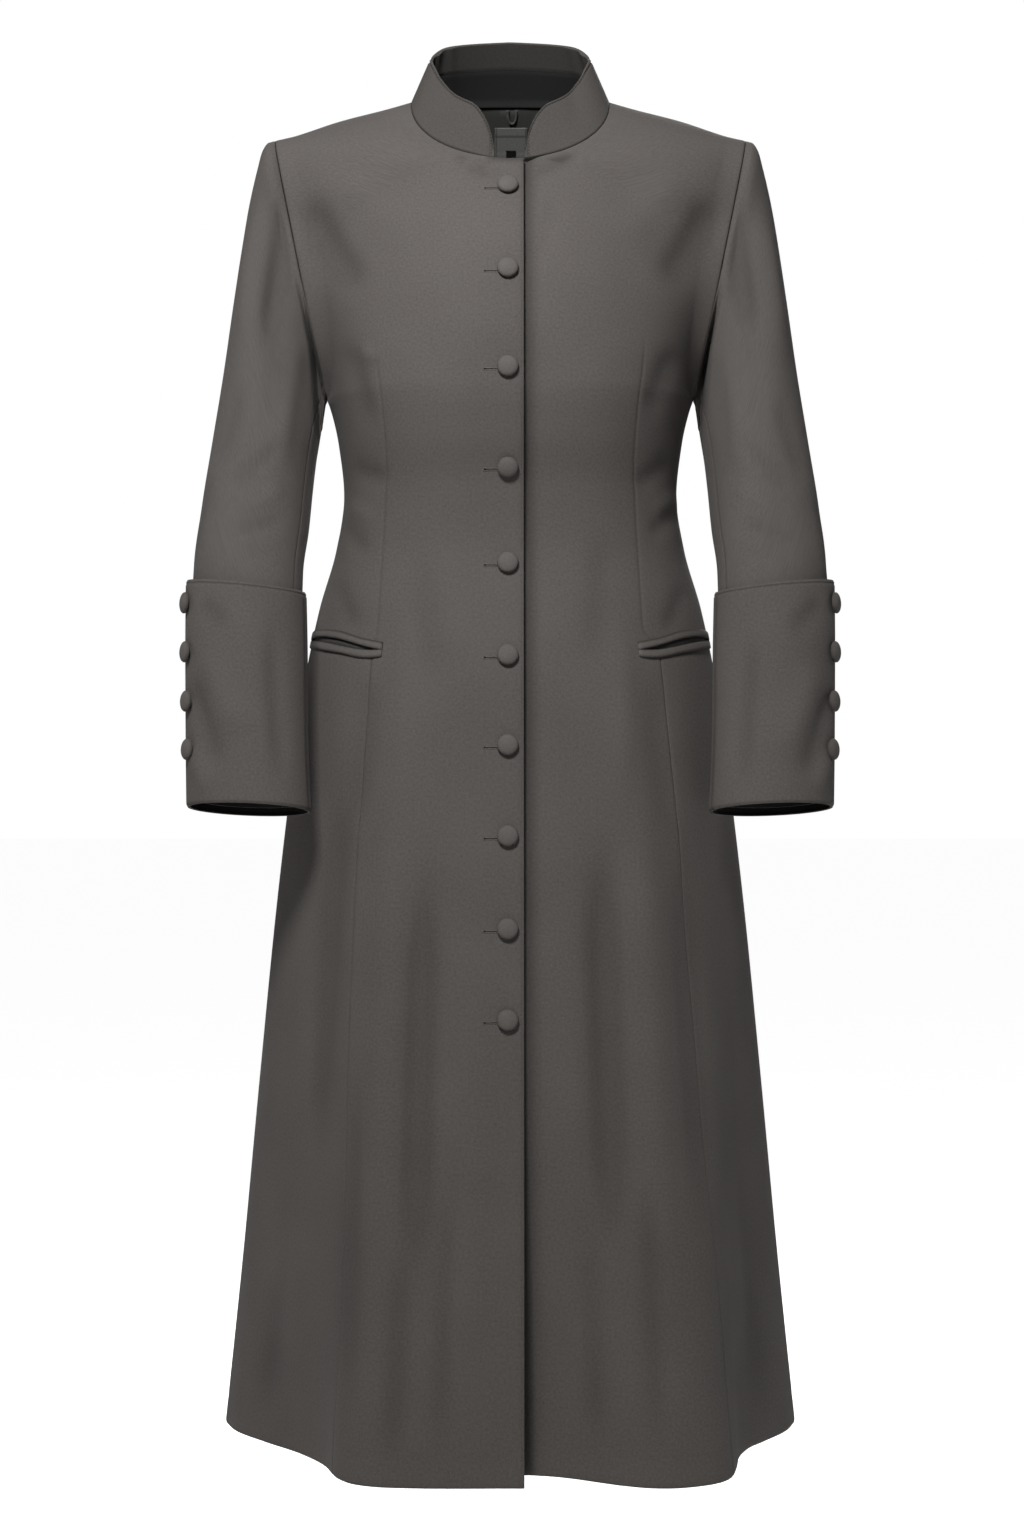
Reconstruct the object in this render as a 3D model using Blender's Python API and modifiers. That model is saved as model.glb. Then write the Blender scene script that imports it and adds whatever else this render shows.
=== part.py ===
"""A clergy robe, hollow as when worn, made from the pieces a tailor cuts.

Metres, +Z up, the front faces -Y. The origin lies between the two high shoulder points,
where the wearer's shoulders carry the robe. Right and left are the wearer's: right is -X.
The body is worked out as four quarters, each a fan of level rows from hem to shoulder seam.
"""
import math

import bmesh
import bpy
import numpy as np
from mathutils import Matrix, Vector

# Driving sizes
CLOTH = 0.0018
COLLAR_THICKNESS = 0.0028
CUFF_THICKNESS = 0.0024
FACING_THICKNESS = 0.001
SEAM_HALF = 0.00015
REST_GAP = 0.0003
HEM_DROP = 1.157
ARMPIT_DROP = 0.2605
POCKET_DROP = 0.481
OVERLAP_EDGE = 0.0115
UNDERLAP_EDGE = 0.020
STRIP_FOLD = 0.0045

NECK_HALF_WIDTH = 0.0864
NECK_FRONT_DROP = 0.0618
NECK_BACK_RISE = 0.012
NECK_FRONT_Y = -0.0605
NECK_BACK_Y = 0.066
NECK_SIDE_Y = 0.005
UPPER_ROWS = 12
NECK_ROWS = 6
NECK_ROW = 1 - NECK_ROWS / UPPER_ROWS

ARMHOLE_TOP = (0.205, 0.012, -0.0325)
ARMHOLE_BOTTOM = (0.1592, 0.004, -0.2605)
ARMHOLE_HALF_DEPTH = 0.059
ARMHOLE_FLARE = 0.011
SHOULDER_CROWN = 0.0034
SHOULDER_TURN = math.radians(32)
SHOULDER_STRAIGHT_FROM = 0.72

POCKET_INNER_X = 0.107
POCKET_OUTER_X = 0.172
POCKET_RISE = 0.0114
POCKET_FADE = 0.12
POCKET_MOUTH = 0.0030
WELT_HEIGHT = 0.0055
WELT_THICKNESS = 0.0014
WELT_END = 0.004
POCKET_FACING_REACH = 0.012

LAP_STEP = 0.0023
LAP_FADE = 0.075
LAP_HEM_BACK = 0.020
LAP_HEM_RISE = 0.0045
LAP_HEM_FADE = 0.11
LAP_OPENS_AT = 0.80
LAP_RISES_AT = 1.0
LAP_TOP_DROP = 0.004

# The collar's height and its lean in to the neck, from the centre (0) to the high shoulder point (1)
COLLAR_FRONT_HEIGHTS = ((0.0, 0.0475), (0.35, 0.0492), (0.6, 0.0515), (0.85, 0.0480), (1.0, 0.0440))
COLLAR_BACK_HEIGHTS = ((0.0, 0.0545), (0.5, 0.0530), (0.8, 0.0482), (1.0, 0.0440))
COLLAR_LEANS = ((0.0, 17.0), (0.35, 23.0), (0.6, 27.0), (1.0, 23.5))
COLLAR_CORNER = 0.026
COLLAR_END_RIGHT = 0.0138
COLLAR_END_LEFT = 0.0125
COLLAR_LEAST_SHARE = 0.24

FACING_COLUMNS = 2
FACING_INSET = 0.003
INNER_FACE = CLOTH + REST_GAP + FACING_THICKNESS
LOOP_RADIUS = 0.0009
LOOP_HALF_WIDTH = 0.0062
LOOP_LENGTH = 0.009
LOOP_TOP = 0.0055
LOOP_X = 0.0015
LOOP_POINTS = 9
LOOP_CLEAR = 0.0005
LABEL_SIZE = (0.029, 0.020, 0.0006)
LABEL_X = 0.0006
LABEL_HEIGHT = -0.0142
LABEL_CLEAR = 0.0010
TAG_SIZE = (0.0085, 0.0062, 0.0005)
TAG_HEIGHT = -0.0278
TAG_CLEAR = 0.0006

BUTTON_RADIUS = 0.009
BUTTON_X = -0.002

# Body sections from armpit to hem: drop below the shoulder points, half width, the side
# seam's place in depth, centre front and centre back, and how far the skirt's folds show
BODY_COLUMNS = ("drop", "half_width", "side_y", "front_y", "back_y", "flare")
BODY_SECTIONS = (
    (0.2605, 0.1592, 0.004, -0.124, 0.112, 0.0),
    (0.2685, 0.1563, 0.004, -0.1235, 0.111, 0.0),
    (0.300, 0.1490, 0.002, -0.117, 0.104, 0.0),
    (0.345, 0.1443, 0.000, -0.104, 0.092, 0.0),
    (0.390, 0.1508, 0.000, -0.100, 0.090, 0.0),
    (0.4425, 0.1657, 0.000, -0.108, 0.102, 0.0),
    (0.500, 0.1777, 0.000, -0.118, 0.116, 0.02),
    (0.580, 0.1893, 0.003, -0.128, 0.132, 0.10),
    (0.700, 0.2042, 0.010, -0.143, 0.152, 0.30),
    (0.850, 0.2198, 0.019, -0.161, 0.178, 0.55),
    (1.000, 0.2347, 0.028, -0.180, 0.203, 0.78),
    (1.157, 0.2516, 0.036, -0.200, 0.228, 1.0),
)

# Centre front and centre back above the armpit
FRONT_PROFILE = ((0.0618, -0.0605), (0.09, -0.078), (0.12, -0.093), (0.17, -0.110), (0.22, -0.121),
                 (0.2605, -0.124))
BACK_PROFILE = ((-0.012, 0.066), (0.02, 0.080), (0.06, 0.098), (0.11, 0.111), (0.16, 0.117),
                (0.21, 0.1165), (0.2605, 0.112))

# The hem seen from above, one row for each turn of a fold, from the centre to the side seam
HEM_COLUMNS = ("x", "y")
HEM_PLANS = {
    "front_right": ((0.0, -0.200), (0.05, -0.2005), (0.100, -0.197), (0.1267, -0.186), (0.1416, -0.165),
                    (0.154, -0.125), (0.177, -0.083), (0.2108, -0.040), (0.2408, 0.004), (0.2516, 0.036)),
    "front_left": ((0.0, -0.200), (0.05, -0.1965), (0.090, -0.1985), (0.1250, -0.200), (0.1645, -0.186),
                   (0.1805, -0.165), (0.1870, -0.135), (0.1920, -0.098), (0.2035, -0.062), (0.2170, -0.040),
                   (0.242, 0.004), (0.2516, 0.036)),
    "back": ((0.0, 0.222), (0.045, 0.231), (0.085, 0.222), (0.125, 0.203), (0.158, 0.196), (0.188, 0.168),
             (0.214, 0.118), (0.238, 0.082), (0.2516, 0.036)),
}
# Where a quarter's upright seam runs, as a share of the half width at the hips and at the hem
SEAM_SHARES = {"front_right": (0.664, 0.578), "front_left": (0.72, 0.725), "back": (0.60, 0.60)}
ROUNDNESS = {"front_right": 2.15, "front_left": 2.15, "back": 2.2}

# Sleeve rings from armhole to wrist: the outer and the inner point, then the middle and the
# half depth along Y
RING_COLUMNS = ("outer_x", "outer_drop", "inner_x", "inner_drop", "mid_y", "half_depth")
SLEEVE_RINGS = (
    (0.2050, 0.0325, 0.1592, 0.2605, 0.008, 0.059),
    (0.2108, 0.0354, 0.1602, 0.2614, 0.007, 0.0605),
    (0.2155, 0.0425, 0.1612, 0.2640, 0.006, 0.0615),
    (0.2202, 0.0600, 0.1618, 0.2685, 0.005, 0.062),
    (0.2262, 0.0870, 0.1628, 0.2760, 0.003, 0.062),
    (0.2330, 0.1270, 0.1643, 0.2860, 0.000, 0.0615),
    (0.2400, 0.1780, 0.1660, 0.2990, -0.005, 0.0605),
    (0.2475, 0.2370, 0.1680, 0.3150, -0.012, 0.059),
    (0.2560, 0.2980, 0.1700, 0.3400, -0.024, 0.056),
    (0.2635, 0.3560, 0.1722, 0.3760, -0.042, 0.052),
    (0.2680, 0.4065, 0.1755, 0.4150, -0.0655, 0.0395),
    (0.2680, 0.4500, 0.1757, 0.4570, -0.0760, 0.0362),
    (0.2675, 0.5200, 0.1742, 0.5260, -0.0865, 0.0345),
    (0.2653, 0.6062, 0.1687, 0.6090, -0.0995, 0.0350),
)
FOREARM_SEAM = math.radians(152)
ELBOW_SEAM = math.radians(238)

CUFF_RINGS = (
    (0.2741, 0.4222, 0.1722, 0.4318, -0.0705, 0.0457),
    (0.2735, 0.4750, 0.1705, 0.4820, -0.0803, 0.0420),
    (0.2724, 0.5300, 0.1695, 0.5360, -0.0885, 0.0395),
    (0.2714, 0.5750, 0.1680, 0.5790, -0.0948, 0.0394),
    (0.2703, 0.6130, 0.1656, 0.6164, -0.1004, 0.0393),
)
CUFF_TILT = 0.0062
CUFF_TILT_START = 0.35
CUFF_BUTTON_ANGLE = math.radians(31)
CUFF_BUTTON_DROPS = (0.4415, 0.4830, 0.5245, 0.5645)
CUFF_BUTTON_SHARES = (0.24, 0.34, 0.44, 0.54)
FRONT_BUTTON_DROPS = (0.0890, 0.1640, 0.2475, 0.3290, 0.4085, 0.4862, 0.5610, 0.6360, 0.7120, 0.7860)

STATIONS = 60


def column(table, names, name):
    """One named column of a table."""
    return np.array([row[names.index(name)] for row in table])


def curve_through(knots, values, at):
    """A smooth curve through the values that never overshoots them."""
    knots, values = np.asarray(knots, float), np.asarray(values, float)
    steps = np.diff(knots)
    slopes = np.diff(values) / steps
    bends = np.empty_like(values)
    bends[0], bends[-1] = slopes[0], slopes[-1]
    same_way = slopes[1:] * slopes[:-1] > 0
    total = steps[1:] + steps[:-1]
    weight_a, weight_b = total + steps[1:], total + steps[:-1]
    safe_a = np.where(same_way, slopes[:-1], 1.0)
    safe_b = np.where(same_way, slopes[1:], 1.0)
    bends[1:-1] = np.where(same_way, 3 * total / (weight_a / safe_a + weight_b / safe_b), 0.0)
    at = np.clip(at, knots[0], knots[-1])
    low = np.clip(np.searchsorted(knots, at, side="right") - 1, 0, len(knots) - 2)
    step = steps[low]
    t = (at - knots[low]) / step
    return (values[low] * (1 + 2 * t) * (1 - t) ** 2 + bends[low] * step * t * (1 - t) ** 2
            + values[low + 1] * t * t * (3 - 2 * t) + bends[low + 1] * step * t * t * (t - 1))


def smoothstep(value):
    """An eased 0 to 1."""
    value = np.clip(value, 0.0, 1.0)
    return value * value * (3 - 2 * value)


def body_size(name, drop):
    """A body size at a drop below the shoulder points."""
    drops = column(BODY_SECTIONS, BODY_COLUMNS, "drop")
    return curve_through(drops, column(BODY_SECTIONS, BODY_COLUMNS, name), drop)


def two_part(points, split_x):
    """Even stations from the centre to the upright seam, then from it to the side."""
    lengths = np.concatenate([[0], np.cumsum(np.linalg.norm(np.diff(points, axis=0), axis=1))])
    split = np.interp(split_x, points[:, 0], lengths)
    wanted = np.concatenate([np.linspace(0, split, STATIONS + 1),
                             np.linspace(split, lengths[-1], STATIONS + 1)[1:]])
    return np.stack([np.interp(wanted, lengths, points[:, axis]) for axis in (0, 1)], axis=1)


def round_section(quarter, turn):
    """A quarter section of the body, in shares of its width and depth, turned this far."""
    power = 2 / ROUNDNESS[quarter]
    angles = np.linspace(0, turn, 240)
    across = np.sin(angles) ** power
    inward = 1 - np.clip(np.cos(angles), 0, 1) ** power
    points = np.stack([across / across[-1], inward / inward[-1]], axis=1)
    return two_part(points, SEAM_SHARES[quarter][0])


def hem_section(quarter):
    """The hem of a quarter, in shares of its width and depth."""
    plan = np.stack([column(HEM_PLANS[quarter], HEM_COLUMNS, name) for name in HEM_COLUMNS], axis=1)
    lengths = np.concatenate([[0], np.cumsum(np.linalg.norm(np.diff(plan, axis=0), axis=1))])
    at = np.linspace(0, lengths[-1], 400)
    points = np.stack([curve_through(lengths, plan[:, axis], at) for axis in (0, 1)], axis=1)
    side_y = body_size("side_y", HEM_DROP)
    centre_y = body_size("back_y" if quarter == "back" else "front_y", HEM_DROP)
    depths = (points[:, 1] - centre_y) / (side_y - centre_y)
    shares = np.stack([points[:, 0] / points[-1, 0], depths], axis=1)
    return two_part(shares, SEAM_SHARES[quarter][1])


HIPS = {quarter: round_section(quarter, math.pi / 2) for quarter in HEM_PLANS}
HEMS = {quarter: hem_section(quarter) for quarter in HEM_PLANS}


def lower_row(quarter, drop):
    """A level row below the armpit, raised along the pocket, from the centre to the side."""
    centre_name = "back_y" if quarter == "back" else "front_y"
    near_pocket = max(0.0, 1 - abs(drop - POCKET_DROP) / POCKET_FADE) ** 2
    rise = np.zeros(2 * STATIONS + 1)
    if quarter != "back":
        outward = HIPS[quarter][:, 0] * body_size("half_width", drop)
        along = (outward - POCKET_INNER_X) / (POCKET_OUTER_X - POCKET_INNER_X)
        rise = near_pocket * POCKET_RISE * smoothstep(along)
    elif near_pocket > 0:
        rise = near_pocket * POCKET_RISE * smoothstep((HIPS[quarter][:, 0] - 0.5) / 0.5)
    drops = drop - rise
    flare = body_size("flare", drops)[:, None]
    shares = (1 - flare) * HIPS[quarter] + flare * HEMS[quarter]
    side_y, centre_y = body_size("side_y", drops), body_size(centre_name, drops)
    return np.stack([shares[:, 0] * body_size("half_width", drops),
                     centre_y + (side_y - centre_y) * shares[:, 1], -drops], axis=1)


def neckline(angle, back):
    """The neck seam, from the centre (0) round to the high shoulder point (a right angle)."""
    across, along = math.sin(angle), max(math.cos(angle), 0.0)
    if back:
        return np.array([NECK_HALF_WIDTH * across,
                         NECK_SIDE_Y + (NECK_BACK_Y - NECK_SIDE_Y) * along ** 0.6, NECK_BACK_RISE * along])
    return np.array([NECK_HALF_WIDTH * across, NECK_SIDE_Y + (NECK_FRONT_Y - NECK_SIDE_Y) * along ** 0.55,
                     -NECK_FRONT_DROP * along ** 0.85])


def armhole(angle):
    """The armhole, a tilted oval: the shoulder at angle 0, the front at a right angle."""
    top, bottom = np.array(ARMHOLE_TOP), np.array(ARMHOLE_BOTTOM)
    return (top + bottom) / 2 + (top - bottom) / 2 * math.cos(angle) + np.array(
        [0, -ARMHOLE_HALF_DEPTH * math.sin(angle), 0])


ARMHOLE_UP = (np.array(ARMHOLE_TOP) - np.array(ARMHOLE_BOTTOM)) * np.array([1, 0, 1])
ARMHOLE_OUT = np.array([ARMHOLE_UP[2], 0, -ARMHOLE_UP[0]]) / np.linalg.norm(ARMHOLE_UP)


def armhole_normal(angle):
    """The armhole oval's own outward direction, in its plane."""
    half_height = np.linalg.norm(ARMHOLE_UP) / 2
    up = ARMHOLE_UP / np.linalg.norm(ARMHOLE_UP)
    normal = up * math.cos(angle) / half_height + np.array([0, -math.sin(angle) / ARMHOLE_HALF_DEPTH, 0])
    return normal / np.linalg.norm(normal)


def upper_row(quarter, level):
    """A row above the armpit (level 0) and up to the shoulder seam (level 1)."""
    back = quarter == "back"
    inner_edge = {"front_right": UNDERLAP_EDGE, "front_left": OVERLAP_EDGE, "back": 0.0}[quarter]
    if level < NECK_ROW:
        profile = np.array(BACK_PROFILE if back else FRONT_PROFILE)
        drop = profile[-1, 0] + (profile[0, 0] - profile[-1, 0]) * level / NECK_ROW
        start = np.array([0, curve_through(profile[:, 0], profile[:, 1], drop), -drop])
    else:
        first = math.asin(inner_edge / NECK_HALF_WIDTH)
        share = (level - NECK_ROW) / (1 - NECK_ROW)
        start = neckline(first + (math.pi / 2 - first) * share, back)
    turn = math.pi * (1 - level) * (-1 if back else 1)
    end = armhole(turn)
    flare = ARMHOLE_OUT * (ARMHOLE_FLARE * math.sin(math.pi * min(level * 1.3, 0.5)))
    before = end - flare
    shares = round_section(quarter, math.pi / 2 - SHOULDER_TURN * float(smoothstep(level)))
    straight = float(smoothstep((level - SHOULDER_STRAIGHT_FROM) / (1 - SHOULDER_STRAIGHT_FROM)))
    across, inward = shares[:, 0], shares[:, 1]
    inward = inward + (across - inward) * straight
    downward = across ** 2 + (across - across ** 2) * straight
    station = np.linspace(0, 2, 2 * STATIONS + 1)
    last = np.clip((station - 1.75) / 0.25, 0, 1) ** 2
    row = start + (before - start) * np.stack([across, inward, downward], axis=1) + flare * last[:, None]
    row[:, 2] += SHOULDER_CROWN * straight * np.sin(math.pi * np.clip(across, 0, 1)) ** 2 * across
    return row


def lap_shift(points):
    """The left front lies under the right one, and its hem hangs a little back and higher."""
    drop = -points[:, 2]
    near = 1 - smoothstep((points[:, 0] - OVERLAP_EDGE) / LAP_FADE)
    opened = smoothstep((drop - LAP_OPENS_AT) / (HEM_DROP - LAP_OPENS_AT))
    hem = smoothstep((drop - LAP_RISES_AT) / (HEM_DROP - LAP_RISES_AT))
    wide = 1 - smoothstep((points[:, 0] - OVERLAP_EDGE) / LAP_HEM_FADE)
    shifted = points.copy()
    shifted[:, 1] += LAP_STEP * near + LAP_HEM_BACK * opened * wide
    shifted[:, 2] += LAP_HEM_RISE * hem * wide
    return shifted


def body_row(quarter, level):
    """A row of a quarter: level -1 at the hem, 0 at the armpit, 1 at the shoulder seam."""
    if level <= 0:
        row = lower_row(quarter, ARMPIT_DROP + (HEM_DROP - ARMPIT_DROP) * -level)
    else:
        row = upper_row(quarter, level)
    return lap_shift(row) if quarter == "front_left" else row


def level_of(drop):
    """The level of a drop below the armpit."""
    return -(drop - ARMPIT_DROP) / (HEM_DROP - ARMPIT_DROP)


ROW_DROPS = (1.157, 1.06, 0.97, 0.88, 0.79, 0.70, 0.62, 0.55, POCKET_DROP, 0.44, 0.40, 0.365, 0.33, 0.298,
             0.272, ARMPIT_DROP)
LEVELS = [level_of(drop) for drop in ROW_DROPS] + [(i + 1) / UPPER_ROWS for i in range(UPPER_ROWS)]
POCKET_ROW, ARMPIT_ROW = ROW_DROPS.index(POCKET_DROP), len(ROW_DROPS) - 1
TOP_ROW = len(LEVELS) - 1
NECK_CORNER_ROW = TOP_ROW - NECK_ROWS
FRONT_STEPS, SIDE_STEPS, BACK_STEPS = 6, 5, 10


def quarter_grid(quarter):
    """The outer points of a quarter, keyed by row and column, on the +X side."""
    grid = {}
    back = quarter == "back"
    edge = {"front_right": UNDERLAP_EDGE, "front_left": OVERLAP_EDGE, "back": 0.0}[quarter]
    stations = np.linspace(0, 2, 2 * STATIONS + 1)
    for r, level in enumerate(LEVELS):
        row = body_row(quarter, level)
        first = 0.0
        if r < NECK_CORNER_ROW and not back:
            first = float(np.interp(edge, row[:, 0], stations))
        if back:
            wanted = np.linspace(0, 2, BACK_STEPS + 1)
        else:
            pocket = float(np.interp(POCKET_INNER_X, body_row(quarter, LEVELS[POCKET_ROW])[:, 0], stations))
            inner = [first + (pocket - first) * i / (FRONT_STEPS - 1) for i in range(FRONT_STEPS)]
            wanted = np.array(inner + [1 + i / SIDE_STEPS for i in range(SIDE_STEPS + 1)])
        for c, at in enumerate(wanted):
            grid[r, c] = np.array([np.interp(at, stations, row[:, axis]) for axis in range(3)])
    if not back:
        reach = OVERLAP_EDGE if quarter == "front_right" else UNDERLAP_EDGE
        strip_x = (-reach, STRIP_FOLD if quarter == "front_right" else -STRIP_FOLD)
        for r in range(NECK_CORNER_ROW + 1):
            row = body_row(quarter, LEVELS[r])
            for c, x in zip((-2, -1), strip_x):
                if r == NECK_CORNER_ROW:
                    point = neckline(math.asin(abs(x) / NECK_HALF_WIDTH), False)
                    if quarter == "front_left":
                        point = lap_shift(point[None, :])[0]
                else:
                    point = np.array([np.interp(abs(x), row[:, 0], row[:, axis]) for axis in range(3)])
                grid[r, c] = np.array([x, point[1], point[2]])
    return grid


def grid_normals(grid, turned_in=1):
    """Outward normals of a quarter grid from the points around each point."""
    normals = {}
    for (r, c), point in grid.items():
        right, left = grid.get((r, c + 1), point), grid.get((r, c - 1), point)
        above, below = grid.get((r + 1, c), point), grid.get((r - 1, c), point)
        normal = np.cross(right - left, above - below) * turned_in
        normals[r, c] = normal / np.linalg.norm(normal)
    return normals


FRONT_SIDE, BACK_SIDE = FRONT_STEPS + SIDE_STEPS, BACK_STEPS
GRIDS = {quarter: quarter_grid(quarter) for quarter in HEM_PLANS}
NORMALS = {"front_right": grid_normals(GRIDS["front_right"]),
           "front_left": grid_normals(GRIDS["front_left"]),
           "back": grid_normals(GRIDS["back"], -1)}


def share_normals():
    """Makes pieces that meet at a seam agree on its direction, so that their edges stay parallel."""
    back = NORMALS["back"]
    back_alone = dict(back)
    for quarter in ("front_right", "front_left"):
        front = NORMALS[quarter]
        for r in range(ARMPIT_ROW):
            shared = front[r, FRONT_SIDE] + back_alone[r, BACK_SIDE]
            shared /= np.linalg.norm(shared)
            front[r, FRONT_SIDE] = back[r, BACK_SIDE] = shared
        for r in range(ARMPIT_ROW, TOP_ROW + 1):
            turn = math.pi * (1 - LEVELS[r])
            front[r, FRONT_SIDE], back[r, BACK_SIDE] = armhole_normal(turn), armhole_normal(-turn)
        for c in range(FRONT_SIDE):
            front[TOP_ROW, c] = shoulder_normal(c / FRONT_SIDE)
    for c in range(BACK_SIDE):
        back[TOP_ROW, c] = shoulder_normal(c / BACK_SIDE)
    for r in range(TOP_ROW + 1):
        if LEVELS[r] <= NECK_ROW:
            back[r, 0] = back[r, 0] * np.array([0, 1, 1])
            back[r, 0] /= np.linalg.norm(back[r, 0])


def shoulder_normal(share):
    """The shoulder seam's upward direction, between the neck and the armhole."""
    direction = (1 - share) * np.array([0.29, 0, 0.957]) + share * armhole_normal(0)
    return direction / np.linalg.norm(direction)


share_normals()

robe = bpy.data.collections.new("clergy_robe")


def clear_scene():
    """Starts from an empty scene."""
    for item in list(bpy.data.objects):
        bpy.data.objects.remove(item, do_unlink=True)
    bpy.context.scene.collection.children.link(robe)


def finish(name, colour, roughness):
    """A plain matt material."""
    made = bpy.data.materials.new(name)
    made.use_nodes = True
    shader = made.node_tree.nodes["Principled BSDF"]
    shader.inputs["Base Color"].default_value = (*colour, 1)
    shader.inputs["Roughness"].default_value = roughness
    return made


TWILL = (0.115, 0.104, 0.097)
LINING = (0.022, 0.020, 0.020)
TAPE = (0.03, 0.03, 0.028)


def add_mesh(name, mesh, colour=TWILL, roughness=0.85):
    """Adds a piece to the robe with a material of its own."""
    piece = bpy.data.objects.new(name, mesh)
    robe.objects.link(piece)
    mesh.materials.clear()
    mesh.materials.append(finish(name, colour, roughness))
    return piece


def wall(name, cells, outer, inward, colour=TWILL, smooth=True):
    """A cloth wall: the outer skin, the inner one and the edges between them."""
    mesh = bpy.data.meshes.new(name)
    shape = bmesh.new()
    used = []
    for cell in cells:
        for key in cell:
            if key not in used:
                used.append(key)
    front = {key: shape.verts.new(outer[key]) for key in used}
    rear = {key: shape.verts.new(outer[key] + inward[key]) for key in used}
    borders = {}
    for cell in cells:
        for triangle in (cell[:3], [cell[0], cell[2], cell[3]]):
            shape.faces.new([front[key] for key in triangle])
            shape.faces.new([rear[key] for key in reversed(triangle)])
        for pair in zip(cell, cell[1:] + cell[:1]):
            borders.setdefault(frozenset(pair), []).append(pair)
    for pairs in borders.values():
        if len(pairs) == 1:
            low, high = sorted(pairs[0], key=lambda key: tuple(outer[key][::-1].round(4)))
            shape.faces.new([front[high], front[low], rear[low]])
            shape.faces.new([front[high], rear[low], rear[high]])
    bmesh.ops.recalc_face_normals(shape, faces=shape.faces)
    shape.to_mesh(mesh)
    shape.free()
    if smooth:
        mesh.shade_smooth()
        mesh.set_sharp_from_angle(angle=math.radians(50))
    return add_mesh(name, mesh, colour)


def quads(rows, columns):
    """The cells of a grid between these rows and columns."""
    return [[(r, c), (r, c + 1), (r + 1, c + 1), (r + 1, c)] for r in rows for c in columns]


def toward(point, neighbour, distance=SEAM_HALF):
    """A point moved a little way to its neighbour."""
    step = neighbour - point
    return point + step / np.linalg.norm(step) * distance


def mirrored(points, side):
    """The points on the wearer's right (-1) or left (+1)."""
    return {key: value * np.array([side, 1, 1]) for key, value in points.items()}


def mouth(column_index):
    """Half the height of the pocket mouth at a column, widest in its middle."""
    share = (column_index - (FRONT_STEPS - 1)) / (FRONT_SIDE - FRONT_STEPS + 1)
    return SEAM_HALF + POCKET_MOUTH / 2 * math.sin(math.pi * min(max(share, 0), 1))


def make_front(quarter, side):
    """A front, which runs to the side seam above its pocket and to the upright seam below it."""
    grid, normals = GRIDS[quarter], NORMALS[quarter]
    suffix = "right" if side < 0 else "left"
    seam, inner_end = FRONT_STEPS, FRONT_STEPS - 1
    upper_cells = quads(range(POCKET_ROW, TOP_ROW), range(FRONT_SIDE))
    lower_cells = quads(range(POCKET_ROW), range(seam))
    strip_cells = quads(range(NECK_CORNER_ROW), (-2, -1))

    points = dict(grid)
    for r in range(TOP_ROW + 1):
        last = grid[r, FRONT_SIDE]
        if r < ARMPIT_ROW:
            points[r, FRONT_SIDE] = toward(last, grid[r, FRONT_SIDE - 1])
        else:
            points[r, FRONT_SIDE] = last - ARMHOLE_OUT * SEAM_HALF
    for c in range(FRONT_SIDE + 1):
        points[TOP_ROW, c] = points[TOP_ROW, c] + np.array([0, -SEAM_HALF, 0])
    points[ARMPIT_ROW, FRONT_SIDE] = points[ARMPIT_ROW, FRONT_SIDE] + np.array([0, -SEAM_HALF, 0])
    for r in range(NECK_CORNER_ROW + 1, TOP_ROW + 1):
        points[r, 0] = toward(points[r, 0], grid[r, 1])
    for c in (-2, -1, 0):
        under_collar_end = quarter == "front_left" and c < 0
        points[NECK_CORNER_ROW, c] = toward(points[NECK_CORNER_ROW, c], grid[NECK_CORNER_ROW - 1, c],
                                            LAP_TOP_DROP if under_collar_end else SEAM_HALF)

    lower_points, side_points = {}, {}
    for r in range(POCKET_ROW + 1):
        lower_points[r, seam] = toward(grid[r, seam], grid[r, seam - 1])
        side_points[r, seam] = toward(grid[r, seam], grid[r, seam + 1])
        for c in range(seam + 1, FRONT_SIDE + 1):
            side_points[r, c] = points[r, c]
    for c in range(seam, FRONT_SIDE + 1):
        target = lower_points if c == seam else side_points
        down = grid[POCKET_ROW - 1, c] - grid[POCKET_ROW, c]
        down /= np.linalg.norm(down)
        target[POCKET_ROW, c] = target[POCKET_ROW, c] + down * mouth(c)
        if c == seam:
            side_points[POCKET_ROW, c] = side_points[POCKET_ROW, c] + down * mouth(c)
    for c in range(inner_end + 1, FRONT_SIDE + 1):
        points[POCKET_ROW, c] = toward(points[POCKET_ROW, c], grid[POCKET_ROW + 1, c], mouth(c))

    def key_of(cell_key, lower):
        r, c = cell_key
        split = lower and ((r == POCKET_ROW and c > inner_end) or c == seam)
        return (r, c, "lower") if split else (r, c, "")

    outer, inward = {}, {}
    cells = []
    for lower, group in ((False, upper_cells), (True, lower_cells), (False, strip_cells)):
        for cell in group:
            loop = []
            for r, c in cell:
                key = key_of((r, c), lower)
                outer[key] = lower_points[r, c] if key[2] else points[r, c]
                inward[key] = -normals[r, c] * CLOTH
                loop.append(key)
            cells.append(loop)
    wall("front_" + suffix, cells, mirrored(outer, side), mirrored(inward, side))

    side_cells = quads(range(POCKET_ROW), range(seam, FRONT_SIDE))
    side_inward = {key: -normals[key] * CLOTH for key in side_points}
    wall("side_front_" + suffix, side_cells, mirrored(side_points, side), mirrored(side_inward, side))


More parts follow.
